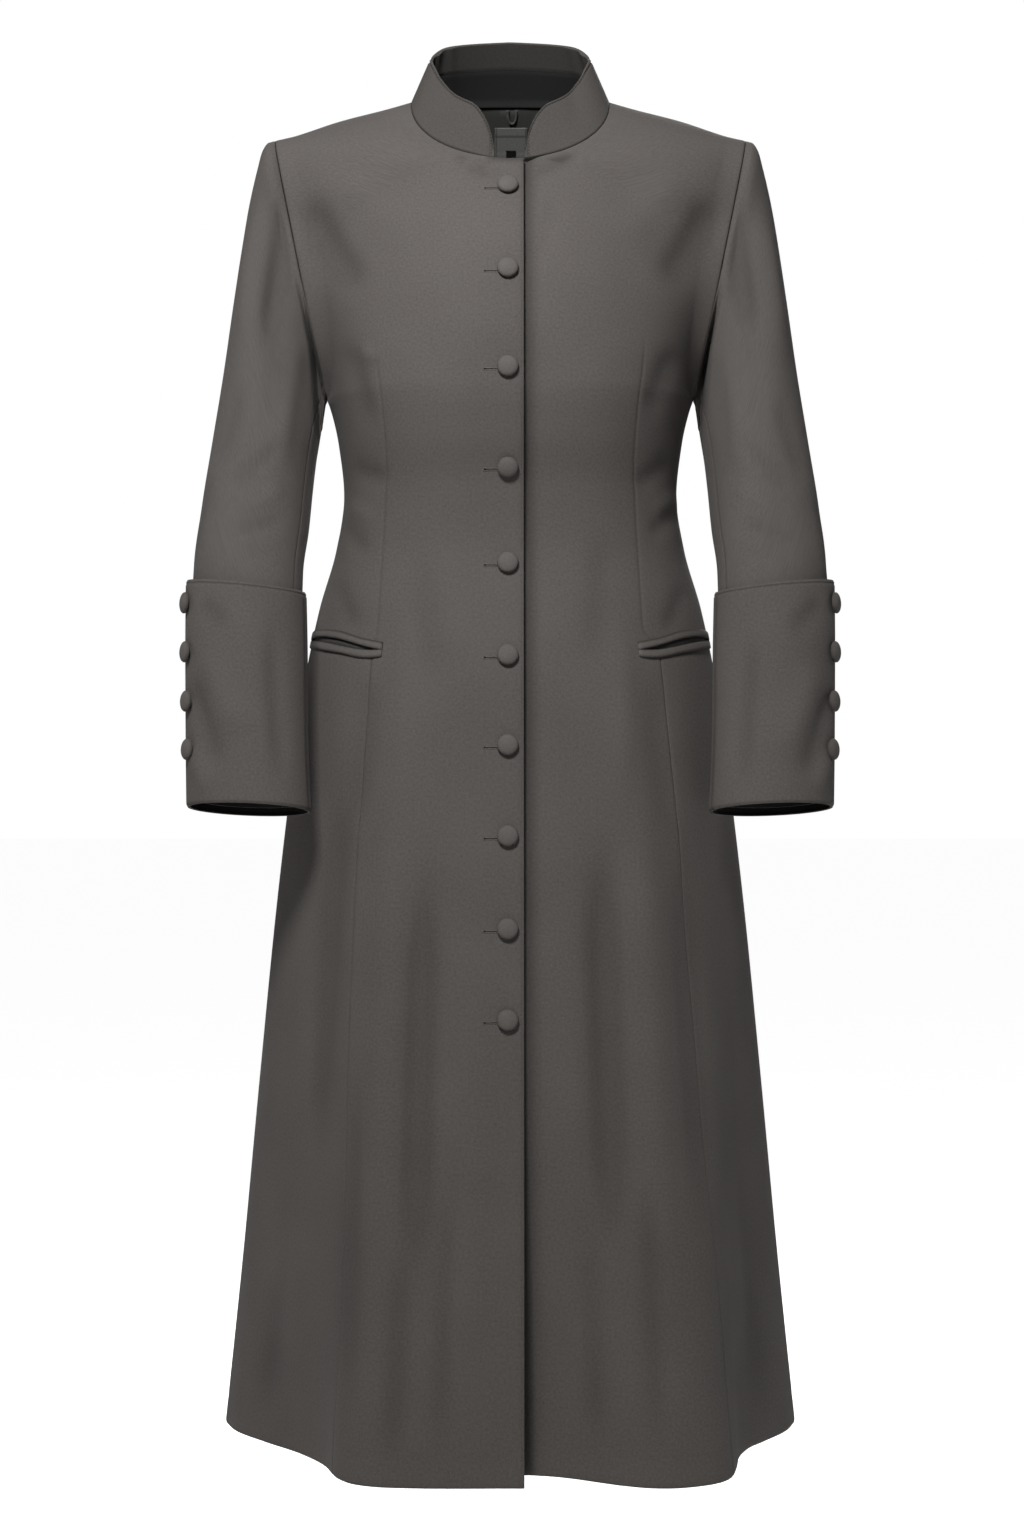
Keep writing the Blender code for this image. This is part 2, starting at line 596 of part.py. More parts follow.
def make_back(side):
    """A half back, from the centre seam to the side seam, armhole and shoulder."""
    grid, normals = GRIDS["back"], NORMALS["back"]
    points = dict(grid)
    for r in range(TOP_ROW + 1):
        if r < ARMPIT_ROW:
            points[r, BACK_SIDE] = toward(grid[r, BACK_SIDE], grid[r, BACK_SIDE - 1])
        else:
            points[r, BACK_SIDE] = grid[r, BACK_SIDE] - ARMHOLE_OUT * SEAM_HALF
        points[r, 0] = toward(grid[r, 0], grid[r, 1])
    for c in range(BACK_SIDE + 1):
        points[TOP_ROW, c] = points[TOP_ROW, c] + np.array([0, SEAM_HALF, 0])
    points[ARMPIT_ROW, BACK_SIDE] = points[ARMPIT_ROW, BACK_SIDE] + np.array([0, SEAM_HALF, 0])
    inward = {key: -normals[key] * CLOTH for key in points}
    cells = quads(range(TOP_ROW), range(BACK_SIDE))
    wall("back_" + ("right" if side < 0 else "left"), cells, mirrored(points, side), mirrored(inward, side))


def make_pocket(quarter, side):
    """Two welts laid over the pocket mouth, and the strip of facing behind it."""
    grid, normals = GRIDS[quarter], NORMALS[quarter]
    suffix = "right" if side < 0 else "left"
    columns = range(FRONT_STEPS - 1, FRONT_SIDE + 1)
    for upper in (True, False):
        points, inward = {}, {}
        for c in columns:
            here, normal = grid[POCKET_ROW, c], normals[POCKET_ROW, c]
            if c == FRONT_SIDE:
                here = toward(here, grid[POCKET_ROW, c - 1], WELT_END)
            away = grid[POCKET_ROW + (1 if upper else -1), c] - grid[POCKET_ROW, c]
            away /= np.linalg.norm(away)
            for row, distance in ((0, mouth(c)), (1, mouth(c) + WELT_HEIGHT)):
                place = here + away * distance
                points[row, c] = place + normal * (REST_GAP + WELT_THICKNESS)
                inward[row, c] = -normal * WELT_THICKNESS
        name = "pocket_welt_" + ("upper_" if upper else "lower_") + suffix
        wall(name, quads((0,), columns[:-1]), mirrored(points, side), mirrored(inward, side), smooth=False)
    points, inward = {}, {}
    for c in columns:
        here, normal = grid[POCKET_ROW, c], normals[POCKET_ROW, c]
        if c == FRONT_SIDE:
            here = toward(here, grid[POCKET_ROW, c - 1], WELT_END)
        for row, neighbour in ((0, POCKET_ROW - 1), (1, POCKET_ROW), (2, POCKET_ROW + 1)):
            place = here
            if row != 1:
                place = toward(here, grid[neighbour, c], POCKET_FACING_REACH)
            points[row, c] = place - normal * (CLOTH + REST_GAP)
            inward[row, c] = -normal * FACING_THICKNESS
    wall("pocket_facing_" + suffix, quads((0, 1), columns[:-1]), mirrored(points, side),
         mirrored(inward, side), LINING, smooth=False)


def ring(sizes, angle, tilt=0.0):
    """A point of a sleeve or cuff ring: 0 outside, a right angle at the front, half a turn inside."""
    size = dict(zip(RING_COLUMNS, sizes))
    outer = np.array([size["outer_x"], size["mid_y"], -size["outer_drop"]])
    inner = np.array([size["inner_x"], size["mid_y"], -size["inner_drop"]])
    centre, across = (outer + inner) / 2, (outer - inner) / 2
    front = np.array([0, -size["half_depth"], tilt])
    return centre + across * math.cos(angle) + front * math.sin(angle)


def tube_normals(rings):
    """Outward normals of a stack of rings."""
    count = len(SLEEVE_ANGLES)
    normals = {}
    for r, c in rings:
        above, below = rings.get((r - 1, c), rings[r, c]), rings.get((r + 1, c), rings[r, c])
        ahead, behind = rings[r, (c + 1) % count], rings[r, (c - 1) % count]
        normal = np.cross(above - below, ahead - behind)
        normals[r, c] = normal / np.linalg.norm(normal)
    return normals


UPPER_SLEEVE_STEPS, UNDER_SLEEVE_STEPS = 14, 5
SLEEVE_ANGLES = np.concatenate([
    np.linspace(ELBOW_SEAM - 2 * math.pi, FOREARM_SEAM, UPPER_SLEEVE_STEPS + 1)[:-1],
    np.linspace(FOREARM_SEAM, ELBOW_SEAM, UNDER_SLEEVE_STEPS + 1)[:-1]])


def sleeve_tilt(row):
    """How much a ring's front is higher than its back, growing to the wrist."""
    return CUFF_TILT * float(smoothstep((row - 6) / (len(SLEEVE_RINGS) - 7)))


def make_sleeve(side):
    """The two-piece sleeve, hung from the armhole."""
    suffix = "right" if side < 0 else "left"
    points = {}
    for r, sizes in enumerate(SLEEVE_RINGS):
        for c, angle in enumerate(SLEEVE_ANGLES):
            points[r, c] = armhole(angle) if r == 0 else ring(sizes, angle, sleeve_tilt(r))
    normals = tube_normals(points)
    for c, angle in enumerate(SLEEVE_ANGLES):
        normals[0, c] = armhole_normal(angle)
        points[0, c] = points[0, c] + ARMHOLE_OUT * SEAM_HALF
    count = len(SLEEVE_ANGLES)
    last = len(SLEEVE_RINGS) - 1
    for name, first, steps in (("upper_sleeve_", 0, UPPER_SLEEVE_STEPS),
                               ("under_sleeve_", UPPER_SLEEVE_STEPS, UNDER_SLEEVE_STEPS)):
        outer, inward = {}, {}
        for r in range(last + 1):
            for step in range(steps + 1):
                c = (first + step) % count
                outer[r, step] = points[r, c]
                inward[r, step] = -normals[r, c] * CLOTH
            end = first + steps
            outer[r, 0] = toward(points[r, first], points[r, first + 1])
            outer[r, steps] = toward(points[r, end % count], points[r, end - 1])
        wall(name + suffix, quads(range(last), range(steps)), mirrored(outer, side), mirrored(inward, side))


def cuff_tilt(row):
    """How much a cuff ring's front is higher than its back."""
    return CUFF_TILT * (CUFF_TILT_START + (1 - CUFF_TILT_START) * row / (len(CUFF_RINGS) - 1))


def make_cuff(side):
    """The turned-back cuff, a closed band that stands off the sleeve at its top edge."""
    points = {}
    for r, sizes in enumerate(CUFF_RINGS):
        for c, angle in enumerate(SLEEVE_ANGLES):
            points[r, c] = ring(sizes, angle, cuff_tilt(r))
    normals = tube_normals(points)
    inward = {key: -normals[key] * CUFF_THICKNESS for key in points}
    count = len(SLEEVE_ANGLES)
    cells = [[(r, c), (r, (c + 1) % count), (r + 1, (c + 1) % count), (r + 1, c)]
             for r in range(len(CUFF_RINGS) - 1) for c in range(count)]
    wall("cuff_" + ("right" if side < 0 else "left"), cells, mirrored(points, side), mirrored(inward, side))


COLLAR_LEVELS = 4
COLLAR_END_STEPS = (0.0012, 0.004, 0.009, 0.016, 0.024)


def collar_feet():
    """The neck seam from the wearer's right end of the collar, round the back, to its left end."""
    neck_rows = range(NECK_CORNER_ROW, TOP_ROW + 1)
    right, left, back = GRIDS["front_right"], GRIDS["front_left"], GRIDS["back"]
    strip, first, second = right[NECK_CORNER_ROW, -1], right[NECK_CORNER_ROW, 0], left[NECK_CORNER_ROW, 0]
    share = (COLLAR_END_RIGHT - strip[0]) / (first[0] - strip[0])
    feet = [(strip + (first - strip) * share) * np.array([-1, 1, 1])]
    feet += [right[r, 0] * np.array([-1, 1, 1]) for r in neck_rows]
    feet += [back[r, 0] * np.array([-1, 1, 1]) for r in reversed(neck_rows[:-1])]
    feet += [back[r, 0] for r in neck_rows[1:]]
    feet += [left[r, 0] for r in reversed(neck_rows[1:-1])]
    share = (COLLAR_END_LEFT - second[0]) / (feet[-1][0] - second[0])
    feet.append(second + (feet[-1] - second) * share)
    return np.array(feet)


def along_quarter(table, share):
    """A collar size at a share of the way from the centre to the high shoulder point."""
    shares, values = zip(*table)
    return float(curve_through(shares, values, share))


def make_collar():
    """The stand collar, leaning in to the neck, lower at the front and rounded at its ends."""
    corners = collar_feet()
    marks = np.concatenate([[0], np.cumsum(np.linalg.norm(np.diff(corners, axis=0), axis=1))])
    whole = marks[-1]
    places = set(marks.tolist())
    for step in COLLAR_END_STEPS:
        places |= {step, whole - step}
    places = sorted(places)
    places = [at for i, at in enumerate(places) if i == 0 or at - places[i - 1] > 0.0008]
    feet = np.stack([np.interp(places, marks, corners[:, axis]) for axis in range(3)], axis=1)
    points, inward = {}, {}
    for i, (place, foot) in enumerate(zip(places, feet)):
        along = feet[min(i + 1, len(feet) - 1)] - feet[max(i - 1, 0)]
        along /= np.linalg.norm(along)
        inner = np.cross(along, np.array([0, 0, 1.0]))
        inner /= np.linalg.norm(inner)
        if np.dot(inner, np.array([0, 0.01, 0]) - foot * np.array([1, 1, 0])) < 0:
            inner = -inner
        angle = math.asin(min(abs(foot[0]) / NECK_HALF_WIDTH, 1.0)) / (math.pi / 2)
        heights = COLLAR_BACK_HEIGHTS if foot[1] > NECK_SIDE_Y else COLLAR_FRONT_HEIGHTS
        height = along_quarter(heights, angle)
        lean = math.radians(along_quarter(COLLAR_LEANS, angle))
        from_end = min(place, whole - place)
        if from_end < COLLAR_CORNER:
            height *= max(math.sqrt(1 - (1 - from_end / COLLAR_CORNER) ** 2), COLLAR_LEAST_SHARE)
        rise = np.array([0, 0, math.cos(lean)]) + inner * math.sin(lean)
        through = np.cross(along, rise)
        through /= np.linalg.norm(through)
        if np.dot(through, inner) < 0:
            through = -through
        for level in range(COLLAR_LEVELS + 1):
            lift = 2 * SEAM_HALF + (height - 2 * SEAM_HALF) * level / COLLAR_LEVELS
            points[i, level] = foot + rise * lift
            inward[i, level] = through * COLLAR_THICKNESS
    wall("collar", quads(range(len(feet) - 1), range(COLLAR_LEVELS)), points, inward)


def inside_back(x, height, depth):
    """A point inside the centre back below the collar, this deep from the back's outer face."""
    high, low = GRIDS["back"][NECK_CORNER_ROW, 0], GRIDS["back"][NECK_CORNER_ROW - 1, 0]
    place = high + (low - high) * (high[2] - height) / (high[2] - low[2])
    slope = (high - low) / np.linalg.norm(high - low)
    inward_way = np.array([0, -slope[2], slope[1]])
    return place + inward_way * depth + np.array([x, 0, 0]), slope, inward_way


def make_back_facing():
    """The lining where it shows inside the back, just below the collar."""
    grid, normals = GRIDS["back"], NORMALS["back"]
    points, inward, cells = {}, {}, []
    rows = range(NECK_CORNER_ROW - 2, TOP_ROW)
    for side in (-1, 1):
        turn = np.array([side, 1, 1])
        for r in rows:
            for c in range(FACING_COLUMNS + 1):
                place = grid[r, c]
                if c == 0 and r > NECK_CORNER_ROW:
                    place = toward(place, grid[r, 1], FACING_INSET)
                if c == 0 and r == NECK_CORNER_ROW:
                    place = toward(place, grid[r - 1, 0], FACING_INSET)
                key = facing_key(r, c, side)
                points[key] = (place - normals[r, c] * (CLOTH + REST_GAP)) * turn
                inward[key] = -normals[r, c] * FACING_THICKNESS * turn
        for cell in quads(rows[:-1], range(FACING_COLUMNS)):
            cells.append([facing_key(r, c, side) for r, c in cell])
    wall("back_neck_facing", cells, points, inward, LINING, smooth=False)


def facing_key(r, c, side):
    """A corner of the back facing; both halves share the corners on the centre line."""
    return (r, side * c, side if c == 0 and r > NECK_CORNER_ROW else 0)


def make_flat_label(name, size, x, height, depth, colour):
    """A small woven tag that lies flat inside the back."""
    centre, slope, inward_way = inside_back(x, height, depth + size[2] / 2)
    shape = bmesh.new()
    bmesh.ops.create_cube(shape, size=1)
    bmesh.ops.scale(shape, vec=size, verts=shape.verts)
    mesh = bpy.data.meshes.new(name)
    shape.to_mesh(mesh)
    shape.free()
    turn = Matrix((Vector((1, 0, 0)), Vector(slope), Vector(inward_way))).transposed().to_4x4()
    add_mesh(name, mesh, colour).matrix_world = Matrix.Translation(Vector(centre)) @ turn


def make_hanger_loop():
    """The loop of tape that the robe hangs from, sewn below the collar."""
    curve = bpy.data.curves.new("hanger_loop", "CURVE")
    curve.dimensions = "3D"
    curve.bevel_depth = LOOP_RADIUS
    curve.bevel_resolution = 2
    curve.use_fill_caps = True
    spline = curve.splines.new("POLY")
    spline.points.add(LOOP_POINTS - 1)
    for i in range(LOOP_POINTS):
        angle = math.pi * i / (LOOP_POINTS - 1)
        x = LOOP_X - LOOP_HALF_WIDTH * math.cos(angle)
        height = LOOP_TOP - LOOP_LENGTH * math.sin(angle)
        place = inside_back(x, height, INNER_FACE + LOOP_RADIUS + LOOP_CLEAR)[0]
        spline.points[i].co = (*place, 1)
    curve.materials.append(finish("hanger_loop", TAPE, 0.6))
    robe.objects.link(bpy.data.objects.new("hanger_loop", curve))


def make_neck_pieces():
    """What shows inside the neck: the back facing, the hanger loop and two bare tags."""
    make_back_facing()
    make_hanger_loop()
    make_flat_label("neck_label", LABEL_SIZE, LABEL_X, LABEL_HEIGHT, INNER_FACE + LABEL_CLEAR, TAPE)
    make_flat_label("care_tag", TAG_SIZE, LABEL_X, TAG_HEIGHT, INNER_FACE + TAG_CLEAR, LINING)


def button_mesh():
    """A domed cloth-covered button on a short shank: a turned profile."""
    profile = ((0.0, 0.0062), (0.0042, 0.0058), (0.0074, 0.0044), (BUTTON_RADIUS, 0.0026), (0.0084, 0.0014),
               (0.0032, 0.0012), (0.0030, REST_GAP), (0.0, REST_GAP))
    mesh = bpy.data.meshes.new("button_profile")
    mesh.from_pydata([(x, 0, z) for x, z in profile], [(i, i + 1) for i in range(len(profile) - 1)], [])
    turned = bpy.data.objects.new("button_profile", mesh)
    robe.objects.link(turned)
    screw = turned.modifiers.new("turn", "SCREW")
    screw.steps = screw.render_steps = 14
    screw.use_merge_vertices = True
    screw.merge_threshold = 0.00005
    bpy.context.view_layer.update()
    made = bpy.data.meshes.new_from_object(turned.evaluated_get(bpy.context.evaluated_depsgraph_get()))
    bpy.data.objects.remove(turned, do_unlink=True)
    shape = bmesh.new()
    shape.from_mesh(made)
    bmesh.ops.recalc_face_normals(shape, faces=shape.faces)
    shape.to_mesh(made)
    shape.free()
    made.shade_smooth()
    made.set_sharp_from_angle(angle=math.radians(40))
    return made


def place_button(name, mesh, place, outward):
    """A button on the cloth, its dome facing out."""
    piece = add_mesh(name, mesh.copy())
    turn = Vector((0, 0, 1)).rotation_difference(Vector(outward))
    piece.matrix_world = Matrix.Translation(Vector(place)) @ turn.to_matrix().to_4x4()


def make_buttons():
    """The front row and the cuffs' rows, each on the facet of cloth that carries it."""
    mesh = button_mesh()
    grid = GRIDS["front_right"]
    drops = [-grid[r, 0][2] for r in range(NECK_CORNER_ROW + 1)]
    for number, drop in enumerate(FRONT_BUTTON_DROPS, 1):
        r = max(i for i in range(NECK_CORNER_ROW) if drops[i] >= drop)
        share = (drops[r] - drop) / (drops[r] - drops[r + 1])
        low, high = grid[r, -1], grid[r + 1, -1]
        place = low + (high - low) * share
        place[0] = BUTTON_X
        rise = high - low
        outward = np.array([0, -rise[2], rise[1]])
        place_button(f"button_front_{number:02d}", mesh, place, outward / np.linalg.norm(outward))
    near = int(np.searchsorted(SLEEVE_ANGLES[:UPPER_SLEEVE_STEPS], CUFF_BUTTON_ANGLE)) - 1
    for number, (drop, share) in enumerate(zip(CUFF_BUTTON_DROPS, CUFF_BUTTON_SHARES), 1):
        line, facets = [], []
        for row, sizes in enumerate(CUFF_RINGS):
            edge = ring(sizes, SLEEVE_ANGLES[near], cuff_tilt(row))
            facets.append(ring(sizes, SLEEVE_ANGLES[near + 1], cuff_tilt(row)) - edge)
            line.append(edge + facets[-1] * share)
        r = max(i for i in range(len(line) - 1) if -line[i][2] <= drop)
        fall = line[r + 1] - line[r]
        place = line[r] - fall * (drop + line[r][2]) / fall[2]
        outward = np.cross(-fall, facets[r])
        outward /= np.linalg.norm(outward)
        for side, word in ((-1, "right"), (1, "left")):
            turn = np.array([side, 1, 1])
            place_button(f"button_cuff_{word}_{number}", mesh, place * turn, outward * turn)


clear_scene()
make_front("front_right", -1)
make_front("front_left", 1)
for wearer_side in (-1, 1):
    make_back(wearer_side)
    make_sleeve(wearer_side)
    make_cuff(wearer_side)
make_pocket("front_right", -1)
make_pocket("front_left", 1)
make_collar()
make_neck_pieces()
make_buttons()
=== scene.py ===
import math

import bpy
import numpy as np
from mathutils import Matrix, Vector


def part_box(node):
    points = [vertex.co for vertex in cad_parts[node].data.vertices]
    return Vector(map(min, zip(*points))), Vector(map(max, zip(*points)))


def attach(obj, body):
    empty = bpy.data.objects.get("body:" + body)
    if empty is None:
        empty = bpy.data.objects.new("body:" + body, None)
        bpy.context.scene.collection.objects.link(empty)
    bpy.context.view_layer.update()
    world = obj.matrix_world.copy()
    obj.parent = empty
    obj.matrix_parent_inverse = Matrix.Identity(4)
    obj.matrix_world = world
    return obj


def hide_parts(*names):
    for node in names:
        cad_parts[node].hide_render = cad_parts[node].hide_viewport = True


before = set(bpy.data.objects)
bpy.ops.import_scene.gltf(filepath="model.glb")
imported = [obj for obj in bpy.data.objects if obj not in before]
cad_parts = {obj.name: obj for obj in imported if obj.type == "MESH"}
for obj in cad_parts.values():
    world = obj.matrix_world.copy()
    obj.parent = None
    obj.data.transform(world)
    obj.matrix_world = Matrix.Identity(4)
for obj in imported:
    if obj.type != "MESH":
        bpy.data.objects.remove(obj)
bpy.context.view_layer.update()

# The studio: a pale floor well below the hem, a soft light high in front with a weak fill, one
# from each side, one behind for the back, and a camera level with the hips, well back.
CAMERA_PLACE = (0.0015, -2.5, -0.580)
CAMERA_LENS = 67.35
CAMERA_SENSOR = 36
FLOOR_DROP = 1.38
FLOOR_SIZE = 60
BACKDROP_LIGHT = 0.03
FLOOR_GLOW = (0.04, 0.95)

camera_data = bpy.data.cameras.new("studio_camera")
camera_data.lens, camera_data.sensor_width = CAMERA_LENS, CAMERA_SENSOR
camera_data.clip_end = 200
camera = bpy.data.objects.new("studio_camera", camera_data)
camera.location = CAMERA_PLACE
camera.rotation_euler = (math.pi / 2, 0, 0)
bpy.context.scene.collection.objects.link(camera)
bpy.context.scene.camera = camera
bpy.context.scene.view_settings.view_transform = "Standard"


def soft_light(name, place, target, size, power):
    """A square soft box that faces its target."""
    data = bpy.data.lights.new(name, "AREA")
    data.shape, data.size, data.energy = "SQUARE", size, power
    light = bpy.data.objects.new(name, data)
    light.location = place
    light.rotation_euler = (Vector(target) - Vector(place)).to_track_quat("-Z", "Y").to_euler()
    bpy.context.scene.collection.objects.link(light)


soft_light("key_box", (-0.34, -1.34, 0.84), (0, 0, -0.25), 0.42, 30)
soft_light("front_fill_box", (0.2, -2.6, 0.7), (0, 0, -0.1), 1.2, 1.6)
soft_light("left_side_box", (-2.1, 0.75, 0.3), (0, 0.1, -0.5), 1.2, 5.5)
soft_light("right_side_box", (2.1, 0.75, 0.3), (0, 0.1, -0.5), 1.2, 5.5)
soft_light("back_box", (0.3, 2.0, 0.7), (0, 0, -0.4), 1.0, 38)

studio = bpy.data.worlds.new("studio")
bpy.context.scene.world = studio
studio.use_nodes = True
nodes, links = studio.node_tree.nodes, studio.node_tree.links
backdrop = nodes["Background"]
backdrop.inputs["Color"].default_value = (1, 1, 1, 1)
seen = nodes.new("ShaderNodeLightPath")
strength = nodes.new("ShaderNodeMapRange")
strength.inputs["To Min"].default_value, strength.inputs["To Max"].default_value = BACKDROP_LIGHT, 1.0
links.new(seen.outputs["Is Camera Ray"], strength.inputs["Value"])
links.new(strength.outputs["Result"], backdrop.inputs["Strength"])

bpy.ops.mesh.primitive_plane_add(size=FLOOR_SIZE, location=(0, 0, -FLOOR_DROP))
floor = bpy.context.active_object
floor.name = "studio_floor"
floor_paint = bpy.data.materials.new("pale_floor")
floor_paint.use_nodes = True
shader = floor_paint.node_tree.nodes["Principled BSDF"]
shader.inputs["Base Color"].default_value = (0.86, 0.86, 0.86, 1)
shader.inputs["Roughness"].default_value = 0.9
shader.inputs["Specular IOR Level"].default_value = 0.1
shader.inputs["Emission Color"].default_value = (1, 1, 1, 1)
glow = floor_paint.node_tree.nodes.new("ShaderNodeMapRange")
glow.inputs["To Min"].default_value, glow.inputs["To Max"].default_value = FLOOR_GLOW
seen = floor_paint.node_tree.nodes.new("ShaderNodeLightPath")
floor_paint.node_tree.links.new(seen.outputs["Is Camera Ray"], glow.inputs["Value"])
floor_paint.node_tree.links.new(glow.outputs["Result"], shader.inputs["Emission Strength"])
floor.data.materials.append(floor_paint)


# The cloth: a warm grey worsted twill with a fine diagonal, a short soft nap and a low sheen.
# One node group weaves it and another darkens it along dark seams and stitch lines, and where
# shade is painted: in fold troughs, beside the lapped edge, in the sleeve tucks, along the welts'
# folded edges and round the buttons' rims.
TWILL_PITCH = 0.0011
WEAVE_ANGLE = math.radians(58)
FUZZ_SPOTS, SLUB_SPOTS, CLOUD_SPOTS = 1500, 420, 9
FUZZ_SHARE, SLUB_SHARE, CLOUD_SHARE = 0.45, 0.35, 0.20
RIB_SHARE = 0.45
SEAM_AND_SHADE_DEPTH = 0.35
NAP_ROUGHNESS = 0.05


def group(name, inputs, outputs):
    """An empty shader node group with named sockets."""
    made = bpy.data.node_groups.new(name, "ShaderNodeTree")
    for label, kind, value in inputs:
        socket = made.interface.new_socket(label, in_out="INPUT", socket_type=kind)
        if value is not None:
            socket.default_value = value
    for label, kind in outputs:
        made.interface.new_socket(label, in_out="OUTPUT", socket_type=kind)
    start, end = made.nodes.new("NodeGroupInput"), made.nodes.new("NodeGroupOutput")
    return made, start, end


def maths(tree, operation, first, second=None):
    """A Math node on two sockets or numbers."""
    node = tree.nodes.new("ShaderNodeMath")
    node.operation = operation
    for socket, value in zip(node.inputs, (first, second)):
        if isinstance(value, (int, float)):
            socket.default_value = value
        elif value is not None:
            tree.links.new(value, socket)
    return node.outputs["Value"]


def noise(tree, vector, scale, detail=2.0):
    """Even noise from 0 to 1 at a number of spots to the metre."""
    node = tree.nodes.new("ShaderNodeTexNoise")
    node.inputs["Scale"].default_value = scale
    node.inputs["Detail"].default_value = detail
    tree.links.new(vector, node.inputs["Vector"])
    return node.outputs["Fac"]


FLOAT, COLOUR, VECTOR = "NodeSocketFloat", "NodeSocketColor", "NodeSocketVector"
weave, start, end = group("twill_weave", (("Cut", VECTOR, None), ("Pitch", FLOAT, TWILL_PITCH)),
                          (("Height", FLOAT), ("Tone", FLOAT), ("Nap", FLOAT)))
split = weave.nodes.new("ShaderNodeSeparateXYZ")
weave.links.new(start.outputs["Cut"], split.inputs["Vector"])
across = maths(weave, "MULTIPLY", split.outputs["X"], math.sin(WEAVE_ANGLE) * 2 * math.pi)
down = maths(weave, "MULTIPLY", split.outputs["Y"], math.cos(WEAVE_ANGLE) * 2 * math.pi)
along_ribs = maths(weave, "DIVIDE", maths(weave, "ADD", across, down), start.outputs["Pitch"])
ribs = maths(weave, "MULTIPLY_ADD", maths(weave, "SINE", along_ribs), 0.5)
weave.nodes[-1].inputs[2].default_value = 0.5
fuzz = noise(weave, start.outputs["Cut"], FUZZ_SPOTS, 3.0)
slubs = noise(weave, start.outputs["Cut"], SLUB_SPOTS)
cloud = noise(weave, start.outputs["Cut"], CLOUD_SPOTS)
height = maths(weave, "ADD", maths(weave, "MULTIPLY", ribs, RIB_SHARE),
               maths(weave, "MULTIPLY", fuzz, 1 - RIB_SHARE))
tone = maths(weave, "ADD", maths(weave, "MULTIPLY", fuzz, FUZZ_SHARE),
             maths(weave, "MULTIPLY", slubs, SLUB_SHARE))
tone = maths(weave, "ADD", tone, maths(weave, "MULTIPLY", cloud, CLOUD_SHARE))
weave.links.new(height, end.inputs["Height"])
weave.links.new(tone, end.inputs["Tone"])
weave.links.new(cloud, end.inputs["Nap"])

pressed, start, end = group("seam_and_painted_shade_darkening", (("Colour", COLOUR, (0.5, 0.5, 0.5, 1)), ("Seam", FLOAT, 0.0),
                                             ("Depth", FLOAT, SEAM_AND_SHADE_DEPTH)), (("Colour", COLOUR),))
deepened = maths(pressed, "MULTIPLY", start.outputs["Seam"], start.outputs["Depth"])
shade = maths(pressed, "SUBTRACT", 1.0, deepened)
darker = pressed.nodes.new("ShaderNodeVectorMath")
darker.operation = "SCALE"
pressed.links.new(start.outputs["Colour"], darker.inputs[0])
pressed.links.new(shade, darker.inputs["Scale"])
pressed.links.new(darker.outputs["Vector"], end.inputs["Colour"])


def cloth_finish(name, light, dark, roughness, sheen, relief, pitch=TWILL_PITCH, seam_and_shade_depth=SEAM_AND_SHADE_DEPTH):
    """A woven material between a light and a dark thread colour."""
    made = bpy.data.materials.new(name)
    made.use_nodes = True
    tree = made.node_tree
    shader = tree.nodes["Principled BSDF"]
    cut = tree.nodes.new("ShaderNodeUVMap")
    cut.uv_map = "cut"
    threads = tree.nodes.new("ShaderNodeGroup")
    threads.node_tree = weave
    threads.inputs["Pitch"].default_value = pitch
    tree.links.new(cut.outputs["UV"], threads.inputs["Cut"])
    ramp = tree.nodes.new("ShaderNodeValToRGB")
    for stop, place, colour in zip(ramp.color_ramp.elements, (0.32, 0.68), (dark, light)):
        stop.position, stop.color = place, (*colour, 1)
    tree.links.new(threads.outputs["Tone"], ramp.inputs["Fac"])
    # A mask of dark seam lines and painted shade, which darkens the colour
    near = tree.nodes.new("ShaderNodeAttribute")
    near.attribute_name = "seam_and_painted_shade"
    seams = tree.nodes.new("ShaderNodeGroup")
    seams.node_tree = pressed
    seams.inputs["Depth"].default_value = seam_and_shade_depth
    tree.links.new(ramp.outputs["Color"], seams.inputs["Colour"])
    tree.links.new(near.outputs["Fac"], seams.inputs["Seam"])
    tree.links.new(seams.outputs["Colour"], shader.inputs["Base Color"])
    rough = tree.nodes.new("ShaderNodeMapRange")
    rough.inputs["To Min"].default_value = roughness + NAP_ROUGHNESS
    rough.inputs["To Max"].default_value = roughness - NAP_ROUGHNESS
    tree.links.new(threads.outputs["Nap"], rough.inputs["Value"])
    tree.links.new(rough.outputs["Result"], shader.inputs["Roughness"])
    bump = tree.nodes.new("ShaderNodeBump")
    bump.inputs["Strength"].default_value = 0.6
    bump.inputs["Distance"].default_value = relief
    tree.links.new(threads.outputs["Height"], bump.inputs["Height"])
    tree.links.new(bump.outputs["Normal"], shader.inputs["Normal"])
    shader.inputs["Sheen Weight"].default_value = sheen
    shader.inputs["Sheen Roughness"].default_value = 0.45
    shader.inputs["Specular IOR Level"].default_value = 0.25
    return made


TWILL = cloth_finish("grey_twill", (0.154, 0.140, 0.131), (0.089, 0.080, 0.075),
                     roughness=0.85, sheen=0.03, relief=0.00020)
LINING = cloth_finish("dark_lining", (0.013, 0.012, 0.012), (0.008, 0.0075, 0.0075),
                      roughness=0.80, sheen=0.03, relief=0.00003)


